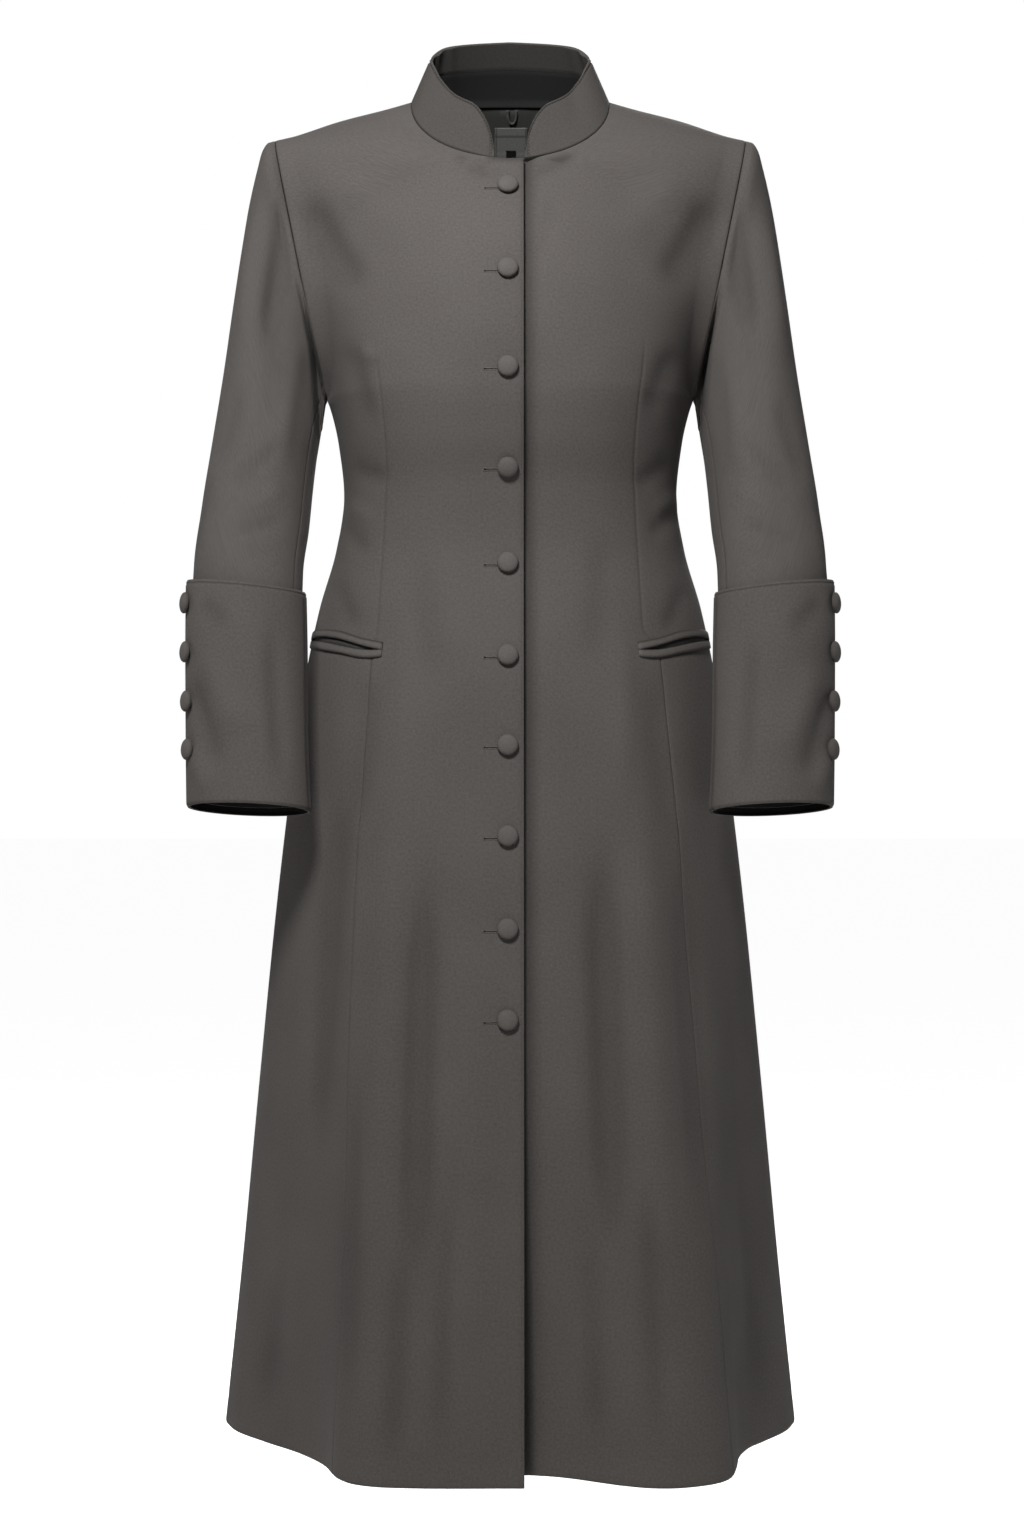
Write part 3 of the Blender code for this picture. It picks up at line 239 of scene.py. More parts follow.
# The body: two fronts, two side fronts and two half backs of twill, sewn at upright seams and
# drawn in at the waist. Level rows run round each quarter from the hem to the shoulder seam.
CLOTH = 0.0018
SEAM_HALF = 0.00015
HEM_DROP = 1.157
ARMPIT_DROP = 0.2605
POCKET_DROP = 0.481
OVERLAP_EDGE = 0.0115
UNDERLAP_EDGE = 0.020
NECK_HALF_WIDTH = 0.0864
NECK_FRONT_DROP = 0.0618
NECK_BACK_RISE = 0.012
NECK_FRONT_Y = -0.0605
NECK_BACK_Y = 0.066
NECK_SIDE_Y = 0.005
NECK_LEVEL = 0.5
NECK_FRONT_ROUNDNESS, NECK_BACK_ROUNDNESS, NECK_FRONT_SCOOP = 0.55, 0.6, 0.85
ARMHOLE_TOP = np.array((0.205, 0.012, -0.0325))
ARMHOLE_BOTTOM = np.array((0.1592, 0.004, -0.2605))
ARMHOLE_HALF_DEPTH = 0.059
ARMHOLE_FLARE = 0.011
ARMHOLE_FLARE_SPREAD = 1.3
ARMHOLE_FLARE_FROM = 1.75
SHOULDER_CROWN = 0.0034
SHOULDER_TURN = math.radians(32)
SHOULDER_STRAIGHT_FROM = 0.72
POCKET_INNER_X = 0.107
POCKET_OUTER_X = 0.172
POCKET_RISE = 0.0114
POCKET_FADE = 0.12
LAP_STEP = 0.0023
LAP_FADE = 0.075
LAP_HEM_BACK = 0.020
LAP_HEM_RISE = 0.0045
LAP_HEM_FADE = 0.11
LAP_OPENS_AT = 0.80
LAP_RISES_AT = 1.0
STATIONS = 150
ROUND_POINTS = 600
HEM_POINTS = 900

BODY_COLUMNS = ("drop", "half_width", "side_y", "front_y", "back_y", "flare")
BODY_SECTIONS = (
    (0.2605, 0.1592, 0.004, -0.124, 0.112, 0.0),
    (0.2685, 0.1563, 0.004, -0.1235, 0.111, 0.0),
    (0.300, 0.1490, 0.002, -0.117, 0.104, 0.0),
    (0.345, 0.1443, 0.000, -0.104, 0.092, 0.0),
    (0.390, 0.1508, 0.000, -0.100, 0.090, 0.0),
    (0.4425, 0.1657, 0.000, -0.108, 0.102, 0.0),
    (0.500, 0.1777, 0.000, -0.118, 0.116, 0.02),
    (0.580, 0.1893, 0.003, -0.128, 0.132, 0.10),
    (0.700, 0.2042, 0.010, -0.143, 0.152, 0.30),
    (0.850, 0.2198, 0.019, -0.161, 0.178, 0.55),
    (1.000, 0.2347, 0.028, -0.180, 0.203, 0.78),
    (1.157, 0.2516, 0.036, -0.200, 0.228, 1.0),
)
PROFILE_COLUMNS = ("drop", "y")
FRONT_PROFILE = ((0.0618, -0.0605), (0.09, -0.078), (0.12, -0.093), (0.17, -0.110), (0.22, -0.121),
                 (0.2605, -0.124))
BACK_PROFILE = ((-0.012, 0.066), (0.02, 0.080), (0.06, 0.098), (0.11, 0.111), (0.16, 0.117),
                (0.21, 0.1165), (0.2605, 0.112))
# The hem seen from above: how far out and how far back it runs, from the centre to the side
HEM_PLANS = {
    "front_right": ((0.0, -0.200), (0.05, -0.2005), (0.100, -0.197), (0.1267, -0.186), (0.1416, -0.165),
                    (0.154, -0.125), (0.177, -0.083), (0.2108, -0.040), (0.2408, 0.004), (0.2516, 0.036)),
    "front_left": ((0.0, -0.200), (0.05, -0.1965), (0.090, -0.1985), (0.1250, -0.200), (0.1645, -0.186),
                   (0.1805, -0.165), (0.1870, -0.135), (0.1920, -0.098), (0.2035, -0.062), (0.2170, -0.040),
                   (0.242, 0.004), (0.2516, 0.036)),
    "back": ((0.0, 0.222), (0.045, 0.231), (0.085, 0.222), (0.125, 0.203), (0.158, 0.196), (0.188, 0.168),
             (0.214, 0.118), (0.238, 0.082), (0.2516, 0.036)),
}
SEAM_SHARES = {"front_right": (0.664, 0.578), "front_left": (0.72, 0.725), "back": (0.60, 0.60)}
ROUNDNESS = {"front_right": 2.15, "front_left": 2.15, "back": 2.2}


def column(table, names, name):
    """One named column of a table."""
    return np.array([row[names.index(name)] for row in table])


def curve_through(knots, values, at):
    """A smooth curve through the values that never overshoots them."""
    knots, values = np.asarray(knots, float), np.asarray(values, float)
    steps = np.diff(knots)
    slopes = np.diff(values) / steps
    bends = np.empty_like(values)
    bends[0], bends[-1] = slopes[0], slopes[-1]
    same_way = slopes[1:] * slopes[:-1] > 0
    total = steps[1:] + steps[:-1]
    safe_a = np.where(same_way, slopes[:-1], 1.0)
    safe_b = np.where(same_way, slopes[1:], 1.0)
    mean = 3 * total / ((total + steps[1:]) / safe_a + (total + steps[:-1]) / safe_b)
    bends[1:-1] = np.where(same_way, mean, 0.0)
    at = np.clip(at, knots[0], knots[-1])
    low = np.clip(np.searchsorted(knots, at, side="right") - 1, 0, len(knots) - 2)
    step = steps[low]
    t = (at - knots[low]) / step
    return (values[low] * (1 + 2 * t) * (1 - t) ** 2 + bends[low] * step * t * (1 - t) ** 2
            + values[low + 1] * t * t * (3 - 2 * t) + bends[low + 1] * step * t * t * (t - 1))


def smoothstep(value):
    """An eased 0 to 1."""
    value = np.clip(value, 0.0, 1.0)
    return value * value * (3 - 2 * value)


def lengths_along(points):
    """How far along a line each of its points lies."""
    return np.concatenate([[0], np.cumsum(np.linalg.norm(np.diff(points, axis=0), axis=1))])


def places_along(line, lengths, at):
    """The places on a line at these lengths along it."""
    return np.stack([np.interp(at, lengths, line[:, axis]) for axis in range(line.shape[1])], axis=1)


def unit(ways):
    """The same directions, each one long."""
    return ways / np.linalg.norm(ways, axis=-1, keepdims=True)


def body_size(name, drop):
    """A body size at a drop below the shoulder points."""
    drops = column(BODY_SECTIONS, BODY_COLUMNS, "drop")
    return curve_through(drops, column(BODY_SECTIONS, BODY_COLUMNS, name), drop)


def two_part(points, split_x):
    """Even stations from the centre to the upright seam, then from it to the side."""
    lengths = lengths_along(points)
    split = np.interp(split_x, points[:, 0], lengths)
    near, far = np.linspace(0, split, STATIONS + 1), np.linspace(split, lengths[-1], STATIONS + 1)
    return places_along(points, lengths, np.concatenate([near, far[1:]]))


def round_section(quarter, turn):
    """A quarter section of the body, in shares of its width and depth, turned this far."""
    power = 2 / ROUNDNESS[quarter]
    angles = np.linspace(0, turn, ROUND_POINTS)
    across = np.sin(angles) ** power
    inward = 1 - np.clip(np.cos(angles), 0, 1) ** power
    points = np.stack([across / across[-1], inward / inward[-1]], axis=1)
    return two_part(points, SEAM_SHARES[quarter][0])


def hem_section(quarter):
    """The hem of a quarter, in shares of its width and depth."""
    plan = np.array(HEM_PLANS[quarter])
    lengths = lengths_along(plan)
    at = np.linspace(0, lengths[-1], HEM_POINTS)
    points = np.stack([curve_through(lengths, plan[:, axis], at) for axis in (0, 1)], axis=1)
    side_y = body_size("side_y", HEM_DROP)
    centre_y = body_size("back_y" if quarter == "back" else "front_y", HEM_DROP)
    shares = np.stack([points[:, 0] / points[-1, 0], (points[:, 1] - centre_y) / (side_y - centre_y)], axis=1)
    return two_part(shares, SEAM_SHARES[quarter][1])


HIPS = {quarter: round_section(quarter, math.pi / 2) for quarter in HEM_PLANS}
HEMS = {quarter: hem_section(quarter) for quarter in HEM_PLANS}


def lower_row(quarter, drop):
    """A level row below the armpit, raised along the pocket, from the centre to the side."""
    near_pocket = max(0.0, 1 - abs(drop - POCKET_DROP) / POCKET_FADE) ** 2
    if quarter == "back":
        rise = near_pocket * POCKET_RISE * smoothstep((HIPS[quarter][:, 0] - 0.5) / 0.5)
    else:
        outward = HIPS[quarter][:, 0] * body_size("half_width", drop)
        reach = (outward - POCKET_INNER_X) / (POCKET_OUTER_X - POCKET_INNER_X)
        rise = near_pocket * POCKET_RISE * smoothstep(reach)
    drops = drop - rise
    flare = body_size("flare", drops)[:, None]
    shares = (1 - flare) * HIPS[quarter] + flare * HEMS[quarter]
    side_y = body_size("side_y", drops)
    centre_y = body_size("back_y" if quarter == "back" else "front_y", drops)
    return np.stack([shares[:, 0] * body_size("half_width", drops),
                     centre_y + (side_y - centre_y) * shares[:, 1], -drops], axis=1)


def neckline(angle, back):
    """The neck seam, from the centre (0) round to the high shoulder point (a right angle)."""
    across, along = math.sin(angle), max(math.cos(angle), 0.0)
    if back:
        y = NECK_SIDE_Y + (NECK_BACK_Y - NECK_SIDE_Y) * along ** NECK_BACK_ROUNDNESS
        return np.array([NECK_HALF_WIDTH * across, y, NECK_BACK_RISE * along])
    y = NECK_SIDE_Y + (NECK_FRONT_Y - NECK_SIDE_Y) * along ** NECK_FRONT_ROUNDNESS
    return np.array([NECK_HALF_WIDTH * across, y, -NECK_FRONT_DROP * along ** NECK_FRONT_SCOOP])


def armhole(angle):
    """The armhole, a tilted oval: the shoulder at angle 0, the front at a right angle."""
    middle, half = (ARMHOLE_TOP + ARMHOLE_BOTTOM) / 2, (ARMHOLE_TOP - ARMHOLE_BOTTOM) / 2
    return middle + half * math.cos(angle) + np.array([0, -ARMHOLE_HALF_DEPTH * math.sin(angle), 0])


ARMHOLE_UP = (ARMHOLE_TOP - ARMHOLE_BOTTOM) * np.array([1, 0, 1])
ARMHOLE_OUT = np.array([ARMHOLE_UP[2], 0, -ARMHOLE_UP[0]]) / np.linalg.norm(ARMHOLE_UP)
INNER_EDGE = {"front_right": UNDERLAP_EDGE, "front_left": OVERLAP_EDGE, "back": 0.0}


def upper_row(quarter, level):
    """A row above the armpit (level 0) and up to the shoulder seam (level 1)."""
    back = quarter == "back"
    if level < NECK_LEVEL:
        profile = BACK_PROFILE if back else FRONT_PROFILE
        drops = column(profile, PROFILE_COLUMNS, "drop")
        drop = drops[-1] + (drops[0] - drops[-1]) * level / NECK_LEVEL
        start = np.array([0, curve_through(drops, column(profile, PROFILE_COLUMNS, "y"), drop), -drop])
    else:
        first = math.asin(INNER_EDGE[quarter] / NECK_HALF_WIDTH)
        share = (level - NECK_LEVEL) / (1 - NECK_LEVEL)
        start = neckline(first + (math.pi / 2 - first) * share, back)
    turn = math.pi * (1 - level) * (-1 if back else 1)
    flare = ARMHOLE_OUT * (ARMHOLE_FLARE * math.sin(math.pi * min(level * ARMHOLE_FLARE_SPREAD, 0.5)))
    before = armhole(turn) - flare
    shares = round_section(quarter, math.pi / 2 - SHOULDER_TURN * float(smoothstep(level)))
    straight = float(smoothstep((level - SHOULDER_STRAIGHT_FROM) / (1 - SHOULDER_STRAIGHT_FROM)))
    across, inward = shares[:, 0], shares[:, 1]
    inward = inward + (across - inward) * straight
    downward = across ** 2 + (across - across ** 2) * straight
    stations = np.linspace(0, 2, len(across))
    flared = np.clip((stations - ARMHOLE_FLARE_FROM) / (2 - ARMHOLE_FLARE_FROM), 0, 1) ** 2
    row = start + (before - start) * np.stack([across, inward, downward], axis=1) + flare * flared[:, None]
    row[:, 2] += SHOULDER_CROWN * straight * np.sin(math.pi * np.clip(across, 0, 1)) ** 2 * across
    return row


def lap_shift(points):
    """The left front lies under the right one, and its hem hangs a little back and higher."""
    drop = -points[:, 2]
    near = 1 - smoothstep((points[:, 0] - OVERLAP_EDGE) / LAP_FADE)
    opened = smoothstep((drop - LAP_OPENS_AT) / (HEM_DROP - LAP_OPENS_AT))
    hem = smoothstep((drop - LAP_RISES_AT) / (HEM_DROP - LAP_RISES_AT))
    wide = 1 - smoothstep((points[:, 0] - OVERLAP_EDGE) / LAP_HEM_FADE)
    shifted = points.copy()
    shifted[:, 1] += LAP_STEP * near + LAP_HEM_BACK * opened * wide
    shifted[:, 2] += LAP_HEM_RISE * hem * wide
    return shifted


def body_row(quarter, level):
    """A row of a quarter: level -1 at the hem, 0 at the armpit, 1 at the shoulder seam."""
    if level <= 0:
        row = lower_row(quarter, ARMPIT_DROP + (HEM_DROP - ARMPIT_DROP) * -level)
    else:
        row = upper_row(quarter, level)
    return lap_shift(row) if quarter == "front_left" else row


SEAM_STEPS = (0.0, 0.0008, 0.0018, 0.0036)
POCKET_LEVEL = -(POCKET_DROP - ARMPIT_DROP) / (HEM_DROP - ARMPIT_DROP)


def close_to(ends, start, stop, count):
    """Places from start to stop, evenly but for closer ones at the ends that are asked for."""
    steps = np.array(SEAM_STEPS)
    near = start + (steps if "start" in ends else steps[:1])
    far = stop - (steps if "stop" in ends else steps[:1])[::-1]
    return np.concatenate([near, np.linspace(near[-1], far[0], count + 1)[1:-1], far])


SKIRT_ROWS, WAIST_ROWS, CHEST_ROWS, SHOULDER_ROWS = 96, 40, 31, 30
HAIR = 1e-6
drop_rows = np.concatenate([close_to(("start", "stop"), POCKET_DROP, HEM_DROP, SKIRT_ROWS)[::-1],
                            close_to(("stop",), ARMPIT_DROP, POCKET_DROP, WAIST_ROWS)[-2::-1]])
neck_rows = np.linspace(0, NECK_LEVEL, CHEST_ROWS)[1:]
shoulder_rows = 1 - close_to(("start",), 0.0, 1 - NECK_LEVEL, SHOULDER_ROWS)[::-1][1:]
LEVELS = np.concatenate([-(drop_rows - ARMPIT_DROP) / (HEM_DROP - ARMPIT_DROP), neck_rows, shoulder_rows])
POCKET_ROW = int(np.argmin(abs(LEVELS - POCKET_LEVEL)))
NECK_ROW = int(np.argmin(abs(LEVELS - NECK_LEVEL)))
BELOW_NECK = (LEVELS <= NECK_LEVEL + HAIR)[:, None]
BELOW_POCKET = (LEVELS <= POCKET_LEVEL + HAIR)[:, None]

# The dart of each front: how far out it runs at each drop, from the bust down to the pocket
DART_COLUMNS = ("drop", "x")
DART = ((0.213, 0.1138), (0.241, 0.1118), (0.285, 0.1068), (0.322, 0.1046), (0.360, 0.1060), (0.406, 0.1085),
        (0.460, 0.1115))
DART_EASE = 0.02
STRIP_STEPS, FRONT_STEPS, CORNER_STEPS, SIDE_STEPS, BACK_STEPS = 7, 26, 3, 46, 74


def quarter_grid(quarter):
    """The outer points of a quarter on the +X side, with the column of its upright seam."""
    stations = np.linspace(0, 2, 2 * STATIONS + 1)
    back = quarter == "back"
    grid = []
    row_at_pocket = body_row(quarter, POCKET_LEVEL)
    corner = float(np.interp(POCKET_INNER_X, row_at_pocket[:, 0], stations))
    for level in LEVELS:
        row = body_row(quarter, level)
        lengths = lengths_along(row)
        whole = lengths[-1]
        if back:
            places = close_to(("start", "stop"), 0.0, whole, BACK_STEPS)
            grid.append(places_along(row, lengths, places))
            continue
        seam_station = 1.0
        if level > POCKET_LEVEL:
            drop = float(np.clip(-row[STATIONS, 2], DART[0][0], POCKET_DROP))
            x = curve_through(column(DART, DART_COLUMNS, "drop"), column(DART, DART_COLUMNS, "x"), drop)
            found = float(np.interp(x, row[:, 0], stations))
            ease = float(smoothstep((POCKET_DROP - drop) / DART_EASE))
            seam_station = 1.0 + (found - 1.0) * ease
        seam = float(np.interp(seam_station, stations, lengths))
        inner = float(np.interp(seam_station - 1.0 + corner, stations, lengths))
        first = 0.0
        if level < NECK_LEVEL - HAIR:
            first = float(np.interp(INNER_EDGE[quarter], row[:, 0], lengths))
        places = np.concatenate([np.linspace(first, inner, FRONT_STEPS + 1)[:-1],
                                 close_to(("stop",), inner, seam, CORNER_STEPS)[:-1],
                                 close_to(("start", "stop"), seam, whole, SIDE_STEPS)])
        points = places_along(row, lengths, places)
        reach = OVERLAP_EDGE if quarter == "front_right" else UNDERLAP_EDGE
        strip_x = close_to(("start",), -reach, INNER_EDGE[quarter], STRIP_STEPS)[:-1]
        if level < NECK_LEVEL - HAIR:
            strip = places_along(row, row[:, 0], abs(strip_x))
        else:
            strip = np.array([neckline(math.asin(abs(x) / NECK_HALF_WIDTH), False) for x in strip_x])
            if quarter == "front_left":
                strip = lap_shift(strip)
        strip[:, 0] = strip_x
        grid.append(np.concatenate([strip, points]))
    return np.array(grid)


STRIP_END = len(close_to(("start",), 0, 1, STRIP_STEPS)) - 1
POCKET_COLUMN = STRIP_END + FRONT_STEPS
SEAM_COLUMN = POCKET_COLUMN + len(close_to(("stop",), 0, 1, CORNER_STEPS)) - 1


def grid_normals(grid, inside):
    """Outward normals of a grid of points, away from what is inside."""
    across = np.empty_like(grid)
    across[:, 1:-1] = grid[:, 2:] - grid[:, :-2]
    across[:, 0], across[:, -1] = grid[:, 1] - grid[:, 0], grid[:, -1] - grid[:, -2]
    up = np.empty_like(grid)
    up[1:-1] = grid[2:] - grid[:-2]
    up[0], up[-1] = grid[1] - grid[0], grid[-1] - grid[-2]
    normals = np.cross(across, up)
    normals /= np.linalg.norm(normals, axis=2, keepdims=True) + 1e-12
    flip = np.sign(np.median((normals * (grid - inside)).sum(axis=2)))
    return normals * (flip or 1.0)


def spans(grid, axis):
    """How far along the rows (1) or up the columns (0) of a grid each point lies."""
    steps = np.linalg.norm(np.diff(grid, axis=axis), axis=2)
    pad = [(0, 0), (0, 0)]
    pad[axis] = (1, 0)
    return np.pad(np.cumsum(steps, axis=axis), pad)


def crease(x, drop, row):
    """A soft trough (negative depth) or ridge, from its top to its foot, bowed to one side."""
    top_x, top_drop, foot_x, foot_drop, width, depth, bow = row
    span = np.hypot(foot_x - top_x, foot_drop - top_drop)
    way_x, way_drop = (foot_x - top_x) / span, (foot_drop - top_drop) / span
    along = ((x - top_x) * way_x + (drop - top_drop) * way_drop) / span
    aside = (x - top_x) * way_drop - (drop - top_drop) * way_x
    aside = aside - bow * 4 * along * (1 - along)
    fade = smoothstep(along / CREASE_FADE) * smoothstep((1 - along) / CREASE_FADE)
    return depth * fade * np.exp(-(aside / width) ** 2)


CREASE_FADE = 0.3
# The trough depth that gives full painted shade, and the most shade painted in a trough
TROUGH_DEPTH, TROUGH_PAINTED_SHADE = 0.006, 0.5
# The chest and the sleeve fall in alike towards the front of the armhole
ARMHOLE_HOLLOW = (0.200, 0.040, 0.165, 0.310, 0.036, 0.0180, 0.0)
HOLLOW_FROM_Y = 0.030


def hollowed(points):
    """These points with a hollow pressed in beside the front of the armhole."""
    hollow = crease(points[..., 0], -points[..., 2], ARMHOLE_HOLLOW)
    pressed = points.copy()
    pressed[..., 1] += hollow * smoothstep(-points[..., 1] / HOLLOW_FROM_Y)
    return pressed


def trough_painted_shade(folds):
    """Painted shade down in the troughs of the folds, darker the deeper they go, up to a limit."""
    return np.clip(-folds / TROUGH_DEPTH, 0, TROUGH_PAINTED_SHADE)


def seam_dip(distance, depth=0.0004, width=0.0011):
    """How far the cloth turns in beside a seam or over an edge."""
    return -depth * np.exp(-(distance / width) ** 2)


def line_tone(distance, tone=0.6, width=0.0012):
    """How much darker the cloth looks along a pressed seam, a row of stitches or a line of painted shade."""
    return tone * np.exp(-(distance / width) ** 2)


def cloth_piece(name, points, cells, cut, near, finishes, thickness=CLOTH, mirror=False, caps=()):
    """A thin shell of cloth from its outer points, with the cut's own flat coordinates."""
    mesh = bpy.data.meshes.new(name)
    points, cells = np.array(points, float).reshape(-1, 3), np.asarray(cells, int)
    cut, near = np.asarray(cut, float).reshape(-1, 2), np.asarray(near, float).ravel()
    if mirror:
        points[:, 0] *= -1
        cells = cells[:, ::-1]
    used, packed = np.unique(cells, return_inverse=True)
    caps = [np.searchsorted(used, cap).tolist() for cap in caps]
    mesh.from_pydata(points[used].tolist(), [], packed.reshape(cells.shape).tolist() + caps)
    layer = mesh.uv_layers.new(name="cut")
    corners = np.empty(len(mesh.loops), int)
    mesh.loops.foreach_get("vertex_index", corners)
    layer.data.foreach_set("uv", cut[used][corners].ravel())
    seam = mesh.attributes.new("seam_and_painted_shade", "FLOAT", "POINT")
    seam.data.foreach_set("value", near[used])
    mesh.shade_smooth()
    for finish in finishes:
        mesh.materials.append(finish)
    piece = bpy.data.objects.new(name, mesh)
    bpy.context.scene.collection.objects.link(piece)
    if thickness:
        wall = piece.modifiers.new("cloth_thickness", "SOLIDIFY")
        wall.thickness, wall.offset = thickness, -1
        wall.material_offset = 1 if len(finishes) > 1 else 0
    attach(piece, "root")
    return piece


def grid_cells(rows, columns, width):
    """The cells of a grid, each a loop of four point numbers, between these rows and columns."""
    r, c = np.meshgrid(np.arange(*rows), np.arange(*columns), indexing="ij")
    r, c = r.ravel(), c.ravel()
    return np.stack([r * width + c, r * width + c + 1, (r + 1) * width + c + 1, (r + 1) * width + c], axis=1)


def tube_cells(rings, sides):
    """The cells of a tube made of rings, each a loop of four point numbers."""
    r, c = np.meshgrid(np.arange(rings - 1), np.arange(sides), indexing="ij")
    r, c, n = r.ravel(), c.ravel(), (c.ravel() + 1) % sides
    return np.stack([r * sides + c, (r + 1) * sides + c, (r + 1) * sides + n, r * sides + n], axis=1)


# The corners of a cell in the order that faces the other way
TURNED_OVER = (0, 3, 2, 1)


# The fronts, cut in one from the shoulder to the hem. The wearer's right one laps over the
# left one. A dart takes in the waist, and below the pocket the side front is a piece of its own.
POCKET_MOUTH = 0.0062
POCKET_GAPES_AT = 0.8
POCKET_SPREAD = 0.014
HEM_DEPTH = 0.026
EDGE_INSET = 0.0026
CREASE_STOP = 0.012
# How deep and how wide each edge or line is pressed in, and how dark and how wide it looks
HEM_ROLL, EDGE_ROLL = (0.0009, 0.0016), (0.0009, 0.0014)
HEM_LINE, EDGE_LINE, DART_LINE = (0.00035, 0.0016), (0.0003, 0.0008), (0.0005, 0.0014)
HEM_TONE, EDGE_TONE, DART_TONE = (0.30, 0.0010), (0.60, 0.0007), (0.35, 0.0012)
DART_STARTS = 0.03
# Each crease: where it starts and ends (out from the centre, then down), its width, its height
# above the cloth (troughs are negative) and how far it bows
FRONT_CREASES = {
    "front_right": (
        (0.048, 0.059, 0.017, 0.080, 0.0037, -0.0036, 0.0),
        (0.029, 0.067, 0.003, 0.081, 0.0032, -0.0027, 0.0008),
        (0.178, 0.086, 0.122, 0.182, 0.0150, -0.0049, 0.004),
        (0.150, 0.070, 0.085, 0.150, 0.0170, 0.0023, -0.004),
        (0.140, 0.215, 0.118, 0.300, 0.0090, -0.0023, -0.002),
        (0.128, 0.230, 0.108, 0.236, 0.0050, 0.0017, 0.0),
        (0.137, 0.322, 0.098, 0.338, 0.0070, -0.0019, 0.002),
        (0.140, 0.352, 0.112, 0.374, 0.0065, 0.0014, 0.001),
        (0.146, 0.366, 0.118, 0.400, 0.0070, -0.0017, 0.002),
        (0.075, 0.395, 0.060, 0.520, 0.0130, -0.0014, 0.003),
        (0.092, 0.430, 0.090, 0.640, 0.0110, 0.0020, -0.002),
        (0.150, 0.415, 0.128, 0.466, 0.0080, -0.0017, 0.002),
        (0.118, 0.492, 0.130, 0.640, 0.0120, -0.0023, -0.002),
        (0.070, 0.640, 0.076, 1.020, 0.0130, -0.0060, 0.003),
        (0.096, 0.560, 0.112, 1.000, 0.0150, 0.0049, -0.002),
        (0.028, 0.690, 0.040, 1.110, 0.0170, 0.0028, -0.003),
        (0.046, 0.900, 0.056, 1.150, 0.0090, -0.0028, 0.001),
        (0.088, 0.960, 0.096, 1.156, 0.0100, -0.0032, 0.0),
        (0.140, 0.560, 0.166, 0.930, 0.0130, -0.0041, 0.001),
        (0.122, 0.800, 0.136, 1.140, 0.0110, -0.0036, 0.002),
        (0.168, 0.690, 0.205, 1.120, 0.0150, 0.0032, 0.0),
        (0.185, 0.930, 0.215, 1.150, 0.0120, -0.0036, 0.0),
    ),
    "front_left": (
        (0.062, 0.057, 0.010, 0.080, 0.0050, -0.0039, -0.001),
        (0.034, 0.090, 0.016, 0.170, 0.0080, -0.0017, 0.002),
        (0.178, 0.086, 0.126, 0.178, 0.0155, -0.0046, 0.003),
        (0.152, 0.072, 0.090, 0.146, 0.0160, 0.0022, -0.004),
        (0.141, 0.220, 0.116, 0.290, 0.0095, -0.0022, -0.002),
        (0.138, 0.315, 0.102, 0.344, 0.0070, -0.0017, 0.002),
        (0.143, 0.360, 0.116, 0.384, 0.0065, -0.0019, 0.001),
        (0.146, 0.345, 0.120, 0.362, 0.0060, 0.0014, 0.0),
        (0.078, 0.380, 0.066, 0.500, 0.0120, -0.0016, 0.002),
        (0.094, 0.440, 0.094, 0.620, 0.0110, 0.0019, 0.002),
        (0.150, 0.420, 0.130, 0.470, 0.0080, -0.0017, 0.001),
        (0.120, 0.490, 0.134, 0.660, 0.0125, -0.0023, -0.002),
        (0.076, 0.620, 0.084, 0.990, 0.0140, -0.0060, -0.002),
        (0.106, 0.580, 0.126, 0.980, 0.0150, 0.0049, 0.001),
        (0.048, 0.700, 0.052, 1.120, 0.0150, 0.0024, 0.002),
        (0.062, 0.930, 0.070, 1.154, 0.0100, -0.0031, -0.001),
        (0.140, 0.620, 0.160, 0.980, 0.0130, -0.0039, -0.001),
        (0.112, 0.880, 0.118, 1.150, 0.0100, -0.0028, 0.001),
        (0.166, 0.720, 0.200, 1.100, 0.0150, 0.0032, 0.0),
        (0.186, 0.880, 0.220, 1.150, 0.0120, -0.0036, 0.001),
    ),
}
# The left front falls away beside the lapped edge, further down the more the fronts part, and a
# painted shadow runs along beside the edge
LAP_PAINTED_SHADE = 1.4
LAP_TROUGH = 0.0092
LAP_TROUGH_DROPS = (0.06, 0.32, 0.48, 0.80, HEM_DROP)
LAP_TROUGH_DEPTHS = (0.0048, 0.0040, 0.0056, 0.0052, 0.0036)


def pocket_gape(share):
    """How far the pocket's mouth opens up and down at a share of its length."""
    return SEAM_HALF + POCKET_MOUTH / 2 * np.sin(math.pi * share ** POCKET_GAPES_AT)


